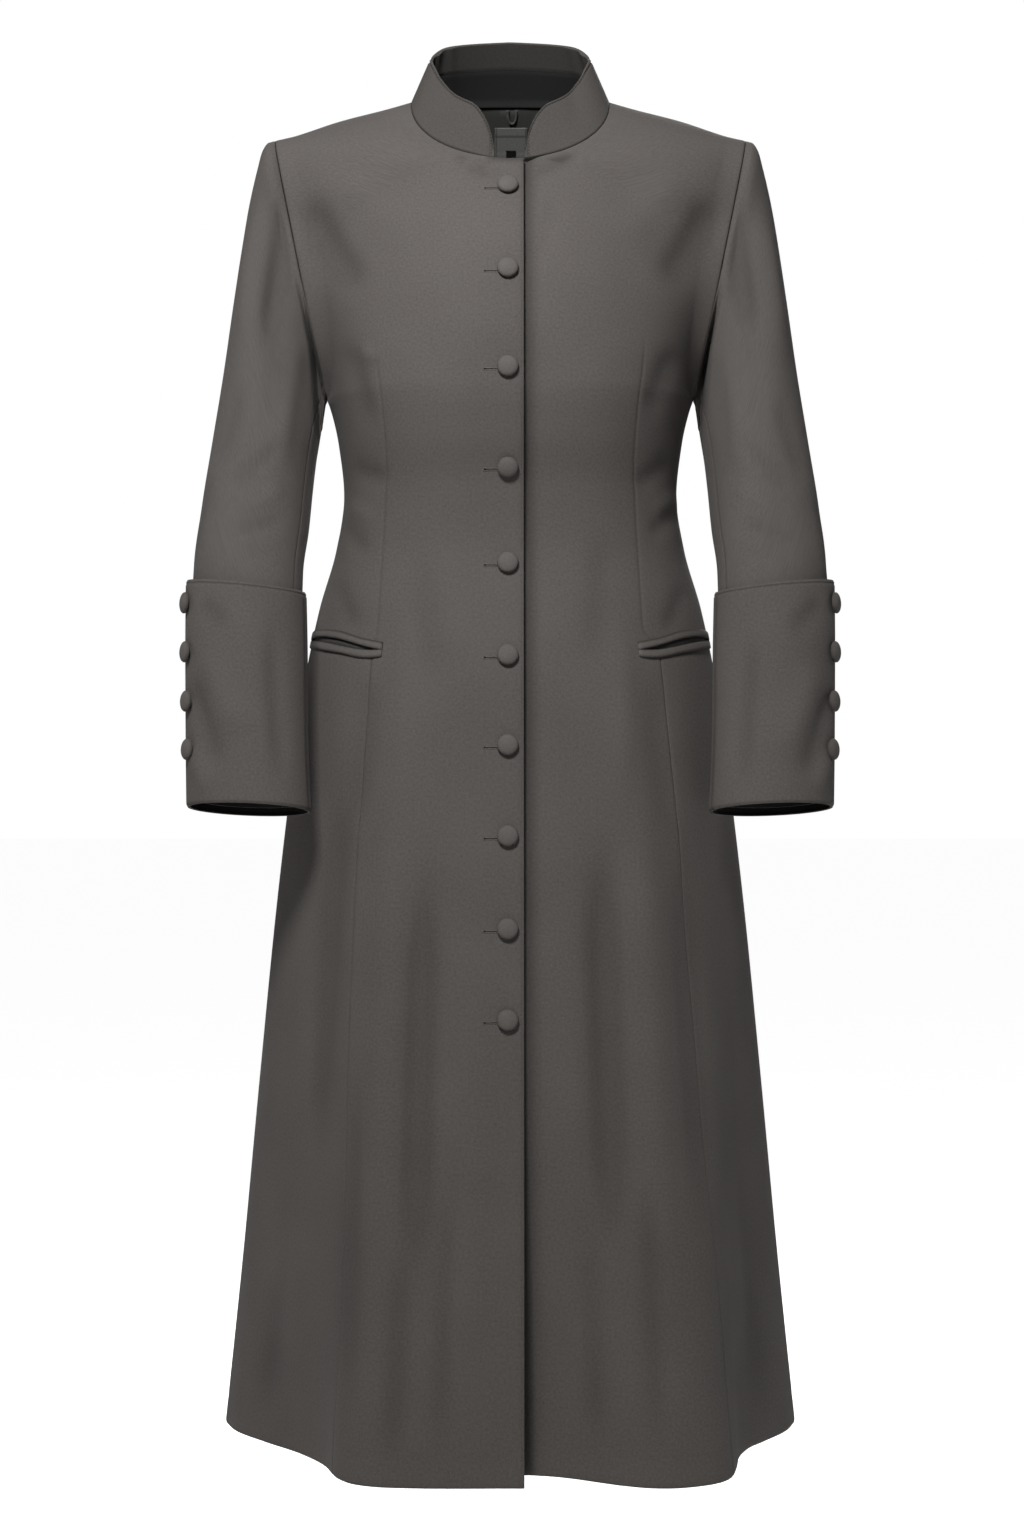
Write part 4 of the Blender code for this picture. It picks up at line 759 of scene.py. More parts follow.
def cut_fronts():
    """Both fronts and side fronts, with their reliefs."""
    for quarter, side, word in (("front_right", -1, "right"), ("front_left", 1, "left")):
        grid = hollowed(quarter_grid(quarter))
        normals = grid_normals(grid, np.array([0, 0.02, -0.5]))
        along, up = spans(grid, 1), spans(grid, 0)
        x, drop = grid[:, :, 0], -grid[:, :, 2]
        to_edge, to_side = along, along[:, -1:] - along
        to_seam = along - along[:, SEAM_COLUMN:SEAM_COLUMN + 1]
        to_hem, to_top = up, up[-1:] - up
        relief, near = np.zeros_like(x), np.zeros_like(x)
        for distance in (to_side, to_top):
            relief += seam_dip(distance)
            near = np.maximum(near, line_tone(distance))
        relief += seam_dip(to_hem, *HEM_ROLL)
        relief += np.where(BELOW_NECK, seam_dip(to_edge, *EDGE_ROLL), 0)
        relief += np.where(BELOW_NECK, seam_dip(to_edge - EDGE_INSET, *EDGE_LINE), 0)
        relief += seam_dip(to_hem - HEM_DEPTH, *HEM_LINE)
        near = np.maximum(near, line_tone(to_hem - HEM_DEPTH, *HEM_TONE))
        near = np.maximum(near, np.where(BELOW_NECK, line_tone(to_edge - EDGE_INSET, *EDGE_TONE), 0))
        dart_line = smoothstep((drop - DART[0][0]) / DART_STARTS) * (drop < POCKET_DROP)
        sewn = np.maximum(dart_line, BELOW_POCKET * 1.0)
        relief += seam_dip(to_seam, *DART_LINE) * sewn
        near = np.maximum(near, line_tone(to_seam, *DART_TONE) * sewn)
        folds = sum(crease(x, drop, row) for row in FRONT_CREASES[quarter])
        folds = folds * smoothstep(to_side / CREASE_STOP)
        relief += folds
        near = np.maximum(near, trough_painted_shade(folds))
        if quarter == "front_left":
            depth = np.interp(drop, LAP_TROUGH_DROPS, LAP_TROUGH_DEPTHS)
            relief -= depth * np.exp(-((x - OVERLAP_EDGE - 0.002) / LAP_TROUGH) ** 2) * (x > 0)
            # Painted shadow beside the lapped edge, on top of the real trough
            near = np.maximum(near, LAP_PAINTED_SHADE * np.exp(-((x - OVERLAP_EDGE) / LAP_TROUGH) ** 2) * (x > 0))
        points = grid + normals * relief[:, :, None]
        cut = np.stack([along - along[:, STRIP_END:STRIP_END + 1], np.broadcast_to(up, along.shape)], axis=2)
        rows, width = x.shape
        pocket_along = along[POCKET_ROW] - along[POCKET_ROW, POCKET_COLUMN]
        share = np.clip(pocket_along / pocket_along[-1], 0, 1)
        mouth = pocket_gape(share)
        lower_slit = points[POCKET_ROW].copy()
        lower_slit[:, 2] -= mouth
        # The opening is shared out over the rows beside it, so that no row folds over the next
        above = (up - up[POCKET_ROW])[:, POCKET_COLUMN + 1:]
        spread = smoothstep(1 - abs(above) / POCKET_SPREAD) * mouth[POCKET_COLUMN + 1:]
        points[:, POCKET_COLUMN + 1:, 2] += np.where(above >= 0, spread, -spread)
        flat = np.concatenate([points.reshape(-1, 3), lower_slit])
        flat_cut = np.concatenate([cut.reshape(-1, 2), cut[POCKET_ROW]])
        flat_near = np.concatenate([near.ravel(), near[POCKET_ROW]])
        whole = grid_cells((POCKET_ROW, rows - 1), (STRIP_END, width - 1), width)
        strip = grid_cells((0, NECK_ROW), (0, STRIP_END), width)
        below = grid_cells((0, POCKET_ROW), (STRIP_END, SEAM_COLUMN), width)
        beside = grid_cells((0, POCKET_ROW), (SEAM_COLUMN, width - 1), width)
        for cells in (below, beside):
            slit = (cells // width == POCKET_ROW) & (cells % width > POCKET_COLUMN)
            cells[slit] = cells[slit] % width + rows * width
        for node, cells in ((quarter, np.concatenate([whole, strip, below])), (f"side_front_{word}", beside)):
            cloth_piece(f"{node}_cloth", flat, cells, flat_cut, flat_near, (TWILL, LINING),
                                      mirror=side < 0)
            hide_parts(node)
        FRONTS[quarter] = (grid, normals, points)


FRONTS = {}
cut_fronts()


# The half backs, of the same twill, each cut in one from the shoulder to the hem. They are sewn
# together at the centre back, and to the fronts at the sides and the shoulders.
BACK_CREASES = (
    (0.165, 0.070, 0.110, 0.180, 0.0160, -0.0039, 0.004),
    (0.130, 0.060, 0.070, 0.130, 0.0170, 0.0021, -0.003),
    (0.140, 0.190, 0.100, 0.270, 0.0100, -0.0023, -0.003),
    (0.020, 0.130, 0.048, 0.260, 0.0160, -0.0016, 0.002),
    (0.132, 0.318, 0.040, 0.350, 0.0075, -0.0021, 0.003),
    (0.125, 0.346, 0.022, 0.372, 0.0080, 0.0018, 0.002),
    (0.138, 0.372, 0.060, 0.398, 0.0070, -0.0018, 0.002),
    (0.060, 0.410, 0.040, 0.560, 0.0140, 0.0021, 0.002),
    (0.110, 0.430, 0.104, 0.600, 0.0120, -0.0021, -0.002),
    (0.030, 0.520, 0.052, 1.000, 0.0160, -0.0039, 0.003),
    (0.072, 0.580, 0.092, 1.080, 0.0160, 0.0036, -0.002),
    (0.112, 0.600, 0.140, 1.040, 0.0150, -0.0036, 0.002),
    (0.148, 0.680, 0.182, 1.120, 0.0150, 0.0026, 0.0),
    (0.176, 0.760, 0.212, 1.140, 0.0130, -0.0029, 0.001),
    (0.014, 0.860, 0.022, 1.150, 0.0110, 0.0021, 0.0),
    (0.064, 0.930, 0.072, 1.154, 0.0100, -0.0021, -0.001),
)


def cut_backs():
    """Both half backs."""
    grid = quarter_grid("back")
    normals = grid_normals(grid, np.array([0, 0.0, -0.5]))
    along, up = spans(grid, 1), spans(grid, 0)
    x, drop = grid[:, :, 0], -grid[:, :, 2]
    relief, near = np.zeros_like(x), np.zeros_like(x)
    to_side = along[:, -1:] - along
    for distance, there in ((along, BELOW_NECK), (to_side, True), (up[-1:] - up, True)):
        relief += np.where(there, seam_dip(distance), 0)
        near = np.maximum(near, np.where(there, line_tone(distance), 0))
    relief += seam_dip(up, *HEM_ROLL) + seam_dip(up - HEM_DEPTH, *HEM_LINE)
    folds = sum(crease(x, drop, row) for row in BACK_CREASES)
    folds = folds * smoothstep(to_side / CREASE_STOP)
    relief += folds
    near = np.maximum(near, trough_painted_shade(folds))
    points = grid + normals * relief[:, :, None]
    points[:, 0, 0] = grid[:, 0, 0]  # the halves meet along the middle
    cut = np.stack([along, np.broadcast_to(up, along.shape)], axis=2)
    rows, width = x.shape
    cells = grid_cells((0, rows - 1), (0, width - 1), width)[:, ::-1]
    for mirror, word in ((True, "right"), (False, "left")):
        back = cloth_piece(f"back_{word}_cloth", points, cells, cut, near, (TWILL, LINING), mirror=mirror)
        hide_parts(f"back_{word}")
    return grid, normals


BACK_GRID, BACK_NORMALS = cut_backs()


# The pockets: two narrow welts of folded twill stitched round a slit that sags a little open,
# with a strip of dark pocketing behind it. Their outer ends are higher.
WELT_HEIGHT = 0.0051
WELT_THICKNESS = 0.0014
WELT_LIFT = 0.0003
WELT_FLATTENS = 0.75
WELT_END = 0.004
POCKETING_REACH = 0.012
POCKETING_BULGE = 0.0026
# Places up a welt, close together where it folds over, and how much flatter the lower one lies
WELT_PLACES = (-0.5, -0.492, -0.47, -0.42, -0.2, 0.0, 0.2, 0.42, 0.47, 0.492, 0.5)
LOWER_WELT_SHARE = 0.6
WELT_FOOT_TONE = 0.4
# How the upper and lower edge of a welt are stitched down, how wide the painted shade along its
# folded edge is, how flat its outer end lies, and the slight wave of its edge
WELT_STITCH_WIDTH, WELT_FOLD_WIDTH = 0.13, 0.07
WELT_FLATTENS_FROM = 0.7
WELT_END_LIFT = 0.4
WELT_WAVE, WELT_WAVE_TURNS = 0.0003, 140
POCKETING_DEPTH = CLOTH + 0.0008
POCKETING_SHOWS = 0.25
WELT_WALL, POCKETING_WALL = 0.0010, 0.0005
# A lighter copy of the body twill, which paints light on the welts
WELT_TWILL_PAINTED_LIGHT = cloth_finish("welt_twill_painted_light", (0.178, 0.162, 0.152), (0.106, 0.096, 0.090),
                          roughness=0.85, sheen=0.03, relief=0.00020, seam_and_shade_depth=0.8)
POCKETING = cloth_finish("pocketing", (0.080, 0.075, 0.071), (0.051, 0.048, 0.046),
                         roughness=0.85, sheen=0.03, relief=0.00006)


def pocket_line(quarter):
    """The pocket's slit, its outward direction and its upward direction, from inner to outer end."""
    grid, normals, _ = FRONTS[quarter]
    line = grid[POCKET_ROW, POCKET_COLUMN:]
    lengths = lengths_along(line)
    places = np.linspace(0, lengths[-1] - WELT_END, 40)
    outward = unit(places_along(normals[POCKET_ROW, POCKET_COLUMN:], lengths, places))
    centre = places_along(line, lengths, places)
    upward = np.cross(outward, unit(np.gradient(centre, axis=0)))
    upward *= np.sign(upward[:, 2:3])
    return centre, outward, upward, pocket_gape(places / lengths[-1]), places


def sew_pockets():
    """Both pockets' welts and pocketing."""
    for quarter, side, word in (("front_right", -1, "right"), ("front_left", 1, "left")):
        centre, outward, upward, mouth, places = pocket_line(quarter)
        count = len(places)
        for upper in (True, False):
            way, share = (1, 1) if upper else (-1, LOWER_WELT_SHARE)
            turn = np.array(WELT_PLACES)
            bulge = WELT_LIFT + WELT_THICKNESS * share * (1 - (2 * abs(turn)) ** 12) ** 0.5
            rise = mouth[:, None] + WELT_HEIGHT * (turn + 0.5)[None, :]
            far_end = smoothstep((places / places[-1] - WELT_FLATTENS_FROM) / (1 - WELT_FLATTENS_FROM))
            lift = bulge[None, :] * (1 - WELT_FLATTENS * far_end)[:, None]
            lift[[0, -1]] *= WELT_END_LIFT
            wave = WELT_WAVE * np.sin(places[:, None] * WELT_WAVE_TURNS + way)
            rise = rise + wave * (turn + 0.5)[None, :]
            points = (centre[:, None] + upward[:, None] * (way * rise)[:, :, None]
                      + outward[:, None] * lift[:, :, None])
            cells = grid_cells((0, count - 1), (0, len(turn) - 1), len(turn))
            if not upper:
                cells = cells[:, ::-1]
            cut = np.stack([np.broadcast_to(places[:, None], rise.shape), rise], axis=2)
            stitched = line_tone(0.5 - turn, 1.0 if upper else WELT_FOOT_TONE, WELT_STITCH_WIDTH)
            # Painted shade along the folded edge of each welt, at the pocket's mouth
            folded = line_tone(0.5 + turn, 1.0, WELT_FOLD_WIDTH)
            near = np.maximum(stitched, folded)[None, :].repeat(count, axis=0)
            name = f"pocket_welt_{'upper' if upper else 'lower'}_{word}"
            welt = cloth_piece(name + "_cloth", points, cells, cut, near, (WELT_TWILL_PAINTED_LIGHT,),
                               thickness=WELT_WALL, mirror=side < 0)
            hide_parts(name)
        drops = np.array((-1, -0.6, -0.3, -0.15, 0, 0.15, 0.3, 0.6, 1))
        shows = (mouth / mouth.max())[:, None] * line_tone(drops, 1.0, POCKETING_SHOWS)[None, :]
        reach = (drops * POCKETING_REACH)[None, :]
        points = (centre[:, None] + upward[:, None] * reach[:, :, None]
                  - outward[:, None] * (POCKETING_DEPTH - POCKETING_BULGE * shows)[:, :, None])
        cells = grid_cells((0, count - 1), (0, len(drops) - 1), len(drops))
        cut = np.stack(np.broadcast_arrays(places[:, None], reach), axis=2)
        bag = cloth_piece(f"pocket_facing_{word}_cloth", points, cells, cut, np.zeros(count * len(drops)),
                          (POCKETING,), thickness=POCKETING_WALL, mirror=side < 0)
        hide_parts(f"pocket_facing_{word}")


sew_pockets()


# The sleeves, two pieces each: a wide upper and a narrow under one, bent at the elbow and eased
# into the armhole over a thin pad. They fill out round the arm and narrow to the wrist.
RING_COLUMNS = ("outer_x", "outer_drop", "inner_x", "inner_drop", "mid_y", "half_depth")
SLEEVE_RINGS = (
    (0.2050, 0.0325, 0.1592, 0.2605, 0.008, 0.059),
    (0.2108, 0.0354, 0.1602, 0.2614, 0.007, 0.0605),
    (0.2155, 0.0425, 0.1612, 0.2640, 0.006, 0.0615),
    (0.2202, 0.0600, 0.1618, 0.2685, 0.005, 0.062),
    (0.2262, 0.0870, 0.1628, 0.2760, 0.003, 0.062),
    (0.2330, 0.1270, 0.1643, 0.2860, 0.000, 0.0615),
    (0.2400, 0.1780, 0.1660, 0.2990, -0.005, 0.0605),
    (0.2475, 0.2370, 0.1680, 0.3150, -0.012, 0.059),
    (0.2560, 0.2980, 0.1700, 0.3400, -0.024, 0.056),
    (0.2635, 0.3560, 0.1722, 0.3760, -0.042, 0.052),
    (0.2680, 0.4065, 0.1755, 0.4150, -0.0655, 0.0395),
    (0.2680, 0.4500, 0.1757, 0.4570, -0.0760, 0.0362),
    (0.2675, 0.5200, 0.1742, 0.5260, -0.0865, 0.0345),
    (0.2653, 0.6062, 0.1687, 0.6090, -0.0995, 0.0350),
)
FOREARM_SEAM = math.radians(152)
ELBOW_SEAM = math.radians(238)
CUFF_TILT = 0.0062
SLEEVE_RADIUS = 0.05
ELBOW_RING = 6
SLEEVE_ROWS = 110
# The fold where the front of the sleeve tucks in behind the edge of the chest: how far out it
# runs at each drop, how sharply it turns, how deep it goes and how soon below the armhole seam
TUCK_COLUMNS = ("drop", "x")
SLEEVE_TUCK = ((0.155, 0.1850), (0.184, 0.1775), (0.220, 0.1715), (0.250, 0.1690), (0.290, 0.1665),
               (0.345, 0.1650))
SLEEVE_TUCK_WIDTH = 0.0055
SLEEVE_TUCK_DEPTH = 0.034
SLEEVE_TUCK_FADE = 0.065
SLEEVE_TUCK_STARTS = 0.005
# How much shade is painted on the part of the sleeve tucked in behind the fold
SLEEVE_TUCK_PAINTED_SHADE = 1.2
# Sleeve and cuff creases: from one angle and drop to another, with their width, height and bow
SLEEVE_CREASES = {
    "right": (
        (70, 0.050, 84, 0.235, 0.0110, -0.0066, 0.002), (38, 0.080, 52, 0.230, 0.0120, 0.0029, -0.003),
        (108, 0.200, 116, 0.330, 0.0100, 0.0029, 0.001), (62, 0.250, 40, 0.330, 0.0080, -0.0014, 0.002),
        (120, 0.300, 60, 0.345, 0.0080, -0.0015, 0.003), (128, 0.342, 70, 0.366, 0.0070, 0.0013, 0.002),
        (134, 0.368, 66, 0.384, 0.0070, -0.0014, 0.002), (30, 0.330, 12, 0.420, 0.0090, -0.0020, -0.002),
        (-20, 0.300, -64, 0.360, 0.0110, 0.0032, 0.003), (-10, 0.090, -28, 0.240, 0.0120, -0.0032, 0.003),
        (-50, 0.120, -62, 0.280, 0.0120, 0.0029, -0.002), (-90, 0.180, -96, 0.340, 0.0100, -0.0032, 0.0),
        (192, 0.300, 222, 0.330, 0.0080, -0.0018, 0.002), (196, 0.350, 228, 0.372, 0.0080, 0.0016, 0.002),
    ),
    "left": (
        (72, 0.052, 86, 0.222, 0.0105, -0.0062, 0.002), (40, 0.090, 50, 0.240, 0.0120, 0.0027, -0.002),
        (106, 0.210, 114, 0.340, 0.0100, 0.0029, 0.001), (66, 0.262, 44, 0.340, 0.0080, -0.0014, 0.001),
        (122, 0.294, 58, 0.350, 0.0085, -0.0015, 0.003), (130, 0.338, 76, 0.370, 0.0070, 0.0012, 0.002),
        (132, 0.372, 60, 0.392, 0.0070, -0.0013, 0.001), (28, 0.340, 8, 0.424, 0.0090, -0.0019, -0.002),
        (-24, 0.310, -60, 0.372, 0.0110, 0.0031, 0.002), (-12, 0.100, -30, 0.250, 0.0120, -0.0031, 0.003),
        (-52, 0.130, -60, 0.270, 0.0120, 0.0027, -0.002), (-92, 0.170, -98, 0.330, 0.0100, -0.0029, 0.0),
        (194, 0.310, 224, 0.336, 0.0080, -0.0017, 0.002), (198, 0.356, 230, 0.380, 0.0080, 0.0015, 0.002),
    ),
}


def ring(size, angle, tilt):
    """A line round a sleeve or cuff: 0 outside, a right angle at the front, half a turn inside."""
    outer_x, outer_drop, inner_x, inner_drop, mid_y, half_depth = size
    centre = np.array([(outer_x + inner_x) / 2, mid_y, -(outer_drop + inner_drop) / 2])
    across = np.array([(outer_x - inner_x) / 2, 0, -(outer_drop - inner_drop) / 2])
    front = np.array([0, -half_depth, tilt])
    return centre + np.cos(angle)[:, None] * across + np.sin(angle)[:, None] * front


def rings_between(table, places):
    """Ring sizes at places between the rows of a table."""
    numbers = np.arange(len(table))
    sizes = [curve_through(numbers, column(table, RING_COLUMNS, name), places) for name in RING_COLUMNS]
    return np.stack(sizes, axis=1)


def sleeve_grid(angles, places):
    """The outer points of a sleeve over these angles, from the armhole to the wrist."""
    sizes = rings_between(SLEEVE_RINGS, places)
    rows = []
    top = np.array([armhole(angle) for angle in angles]) + ARMHOLE_OUT * SEAM_HALF
    first = ring(rings_between(SLEEVE_RINGS, np.array([1.0]))[0], angles, 0.0)
    for place, size in zip(places, sizes):
        tilt = CUFF_TILT * float(smoothstep((place - ELBOW_RING) / (len(SLEEVE_RINGS) - 1 - ELBOW_RING)))
        rows.append(top + (first - top) * place if place < 1 else ring(size, angles, tilt))
    return hollowed(np.array(rows))


def tube_crease(angles, drop, row):
    """A soft trough or ridge on a sleeve, from one angle and drop to another, angles in degrees."""
    top_angle, top_drop, foot_angle, foot_drop, width, depth, bow = row
    top, foot = math.radians(top_angle) * SLEEVE_RADIUS, math.radians(foot_angle) * SLEEVE_RADIUS
    return crease(np.radians(angles) * SLEEVE_RADIUS, drop, (top, top_drop, foot, foot_drop, width, depth, bow))


def tucked(grid):
    """The sleeve pushed back between the armhole and the fold, and how far in each point is."""
    drop = -grid[:, :, 2]
    fold = np.interp(drop, column(SLEEVE_TUCK, TUCK_COLUMNS, "drop"), column(SLEEVE_TUCK, TUCK_COLUMNS, "x"))
    inward = smoothstep((fold - grid[:, :, 0]) / SLEEVE_TUCK_WIDTH + 0.5)
    fade = smoothstep((drop - SLEEVE_TUCK[0][0]) / SLEEVE_TUCK_FADE) \
        * smoothstep((SLEEVE_TUCK[-1][0] - drop) / SLEEVE_TUCK_FADE)
    pushed = grid.copy()
    pushed[:, :, 1] += (SLEEVE_TUCK_DEPTH * inward * fade * smoothstep(-grid[:, :, 1] / HOLLOW_FROM_Y)
                        * smoothstep(spans(grid, 0) / SLEEVE_TUCK_STARTS))
    return pushed, inward * fade


def set_sleeves():
    """Both sleeves, each from an upper and an under piece."""
    places = np.concatenate([[0, 0.12, 0.3, 0.6], np.linspace(1, len(SLEEVE_RINGS) - 1, SLEEVE_ROWS)])
    seam_and_painted_shade = np.array(SEAM_STEPS) / SLEEVE_RADIUS
    for side, word in ((-1, "right"), (1, "left")):
        for part, start, stop, count, area in (("upper", ELBOW_SEAM - 2 * math.pi, FOREARM_SEAM, 72, 0.1204),
                                               ("under", FOREARM_SEAM, ELBOW_SEAM, 26, 0.0248)):
            between = np.linspace(start + seam_and_painted_shade[-1], stop - seam_and_painted_shade[-1], count)[1:-1]
            angles = np.concatenate([start + seam_and_painted_shade, between, stop - seam_and_painted_shade[::-1]])
            grid, behind = tucked(sleeve_grid(angles, places))
            normals = grid_normals(grid, grid.mean(axis=1, keepdims=True))
            normals[0] = normals[1]
            along, down = spans(grid, 1), spans(grid, 0)
            relief, near = np.zeros(along.shape), np.zeros(along.shape)
            for distance in (along, along[:, -1:] - along, down):
                relief += seam_dip(distance)
                near = np.maximum(near, line_tone(distance))
            degrees = np.broadcast_to(np.degrees(angles), along.shape)
            folds = sum(tube_crease(degrees, -grid[:, :, 2], row) for row in SLEEVE_CREASES[word])
            folds = folds * smoothstep(down / CREASE_STOP)
            relief += folds
            near = np.maximum(near, trough_painted_shade(folds))
            # Painted shade on the tucked part of the sleeve
            near = np.maximum(near, SLEEVE_TUCK_PAINTED_SHADE * behind)
            points = grid + normals * relief[:, :, None]
            cut = np.stack([along, -down], axis=2)
            cells = grid_cells((0, along.shape[0] - 1), (0, along.shape[1] - 1), along.shape[1])
            face = np.cross(grid[0, 1] - grid[0, 0], grid[2, 0] - grid[0, 0])
            if np.dot(face, normals[1, 0]) < 0:
                cells = cells[:, ::-1]
            name = f"{part}_sleeve_{word}"
            piece = cloth_piece(name + "_cloth", points, cells, cut, near, (TWILL, LINING), mirror=side < 0)
            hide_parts(name)


set_sleeves()


# The cuffs: deep bands of interlined twill turned back over the sleeve ends. Each stands a little
# off the sleeve at its top edge, is seamed on the inside of the arm and hangs past the wrist.
CUFF_THICKNESS = 0.0024
CUFF_TILT_START = 0.35
CUFF_EDGE_SEAM = 0.0030
CUFF_SIDES, CUFF_ROWS = 110, 44
CUFF_SEAM_TURN = 0.018
# How deep and how wide its seam, its rolled edges and the line inside them are pressed in, and
# how dark and how wide each looks
CUFF_SEAM_DIP, CUFF_ROLL, CUFF_LINE = (0.0008, 0.0014), (0.0011, 0.0015), (0.0006, 0.0009)
CUFF_SEAM_TONE, CUFF_ROLL_TONE, CUFF_LINE_TONE = (1.0, 0.0016), (0.5, 0.0010), (0.9, 0.0009)
CUFF_RINGS = (
    (0.2741, 0.4222, 0.1722, 0.4318, -0.0705, 0.0457),
    (0.2735, 0.4750, 0.1705, 0.4820, -0.0803, 0.0420),
    (0.2724, 0.5300, 0.1695, 0.5360, -0.0885, 0.0395),
    (0.2714, 0.5750, 0.1680, 0.5790, -0.0948, 0.0394),
    (0.2703, 0.6130, 0.1656, 0.6164, -0.1004, 0.0393),
)
CUFF_SEAM = math.radians(168)
CUFF_CREASES = {
    "right": (
        (30, 0.500, 70, 0.586, 0.0110, -0.0030, 0.002), (50, 0.474, 92, 0.560, 0.0130, 0.0030, -0.002),
        (44, 0.442, 78, 0.466, 0.0090, -0.0018, 0.001), (24, 0.560, 58, 0.606, 0.0100, 0.0022, 0.001),
        (118, 0.450, 128, 0.600, 0.0080, -0.0024, -0.002), (-18, 0.450, -36, 0.590, 0.0110, -0.0027, 0.002),
        (-70, 0.470, -84, 0.600, 0.0110, 0.0027, 0.0), (206, 0.460, 216, 0.590, 0.0100, -0.0024, 0.001),
    ),
    "left": (
        (28, 0.512, 66, 0.594, 0.0110, -0.0028, 0.001), (48, 0.486, 88, 0.574, 0.0130, 0.0028, -0.002),
        (40, 0.440, 80, 0.470, 0.0090, -0.0020, 0.001), (22, 0.566, 50, 0.604, 0.0100, 0.0020, 0.001),
        (114, 0.460, 124, 0.606, 0.0080, -0.0024, -0.001), (-16, 0.460, -34, 0.600, 0.0110, -0.0027, 0.002),
        (-72, 0.480, -82, 0.590, 0.0110, 0.0025, 0.0), (208, 0.470, 214, 0.600, 0.0100, -0.0023, 0.001),
    ),
}


def cuff_grid(angles, places):
    """The outer points of a cuff, from its top edge down."""
    sizes = rings_between(CUFF_RINGS, places)
    last = len(CUFF_RINGS) - 1
    return np.array([ring(size, angles, CUFF_TILT * (CUFF_TILT_START + (1 - CUFF_TILT_START) * place / last))
                     for place, size in zip(places, sizes)])


def turn_cuffs():
    """Both cuffs, with a rolled edge above and below."""
    last = len(CUFF_RINGS) - 1
    edge = np.array((0.0, 0.006, 0.016, 0.032, 0.042, 0.052, 0.060, 0.070, 0.09))
    places = np.concatenate([edge, np.linspace(0.12, last - 0.12, CUFF_ROWS), last - edge[::-1]])
    for side, word in ((-1, "right"), (1, "left")):
        angles = CUFF_SEAM + np.linspace(0, 2 * math.pi, CUFF_SIDES + 1)
        angles[1], angles[-2] = CUFF_SEAM + CUFF_SEAM_TURN, CUFF_SEAM + 2 * math.pi - CUFF_SEAM_TURN
        grid = cuff_grid(angles, places)
        normals = grid_normals(grid, grid.mean(axis=1, keepdims=True))
        normals[:, 0] = normals[:, -1] = unit(normals[:, 0] + normals[:, -1])
        along, down = spans(grid, 1), spans(grid, 0)
        to_seam = np.minimum(along, along[:, -1:] - along)
        relief, near = seam_dip(to_seam, *CUFF_SEAM_DIP), line_tone(to_seam, *CUFF_SEAM_TONE)
        for distance in (down, down[-1:] - down):
            relief += seam_dip(distance, *CUFF_ROLL)
            near = np.maximum(near, line_tone(distance, *CUFF_ROLL_TONE))
        relief += seam_dip(down - CUFF_EDGE_SEAM, *CUFF_LINE)
        near = np.maximum(near, line_tone(down - CUFF_EDGE_SEAM, *CUFF_LINE_TONE))
        degrees = np.broadcast_to(np.degrees(np.where(angles > math.pi * 1.5, angles - 2 * math.pi, angles)),
                                  along.shape)
        folds = sum(tube_crease(degrees, -grid[:, :, 2], row) for row in CUFF_CREASES[word])
        relief += folds
        near = np.maximum(near, trough_painted_shade(folds))
        points = (grid + normals * relief[:, :, None])[:, :-1]
        cells = tube_cells(*points.shape[:2])
        face = np.cross(points[1, 0] - points[0, 0], points[1, 1] - points[0, 0])
        if np.dot(face, normals[1, 0]) < 0:
            cells = cells[:, ::-1]
        cut = np.stack([along, -down], axis=2)[:, :-1]
        cuff = cloth_piece(f"cuff_{word}_cloth", points, cells, cut, near[:, :-1], (TWILL, LINING),
                           thickness=CUFF_THICKNESS, mirror=side < 0)
        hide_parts(f"cuff_{word}")


turn_cuffs()


# The stand collar: an interlined band of twill that leans in to the neck, lower in front, with
# rounded ends that don't meet, in a darker copy of the twill that paints shade on it. A dark lining
# backs it below a strip of its own cloth, painted darker still as shade.
COLLAR_THICKNESS = 0.0028
COLLAR_FRONT_HEIGHTS = ((0.0, 0.0475), (0.35, 0.0520), (0.55, 0.0548), (0.8, 0.0480), (1.0, 0.0412))
COLLAR_BACK_HEIGHTS = ((0.0, 0.0545), (0.5, 0.0522), (0.8, 0.0470), (1.0, 0.0412))
COLLAR_FRONT_LEANS = ((0.0, 17.0), (0.35, 21.0), (0.55, 26.0), (0.8, 26.0), (1.0, 23.5))
COLLAR_BACK_LEANS = ((0.0, 17.0), (0.5, 20.0), (0.8, 20.0), (1.0, 23.5))
COLLAR_CORNER = 0.026
COLLAR_END_RIGHT = 0.0138
COLLAR_END_LEFT = 0.0125
COLLAR_LEAST_SHARE = 0.24
COLLAR_EDGE_SEAM = 0.0026
COLLAR_SEAM_DIP = 0.0011
COLLAR_STRIP = 0.024
COLLAR_STITCH_COLUMN = 3
COLLAR_COLUMNS = 120
COLLAR_SEAM_WIDTH = 0.0008
COLLAR_FOOT = 0.0003
COLLAR_FOOT_TONE, COLLAR_LINE_TONE, COLLAR_STRIP_TONE = 0.8, 0.7, 0.9
# The foot of the lining hangs a little over the neck seam inside: how far down, how far in
COLLAR_LINING_FOOT = ((0.0010, 0.0037), (0.0032, 0.0038), (0.0034, 0.0036), (0.0032, 0.0034),
                      (0.0010, 0.0031))
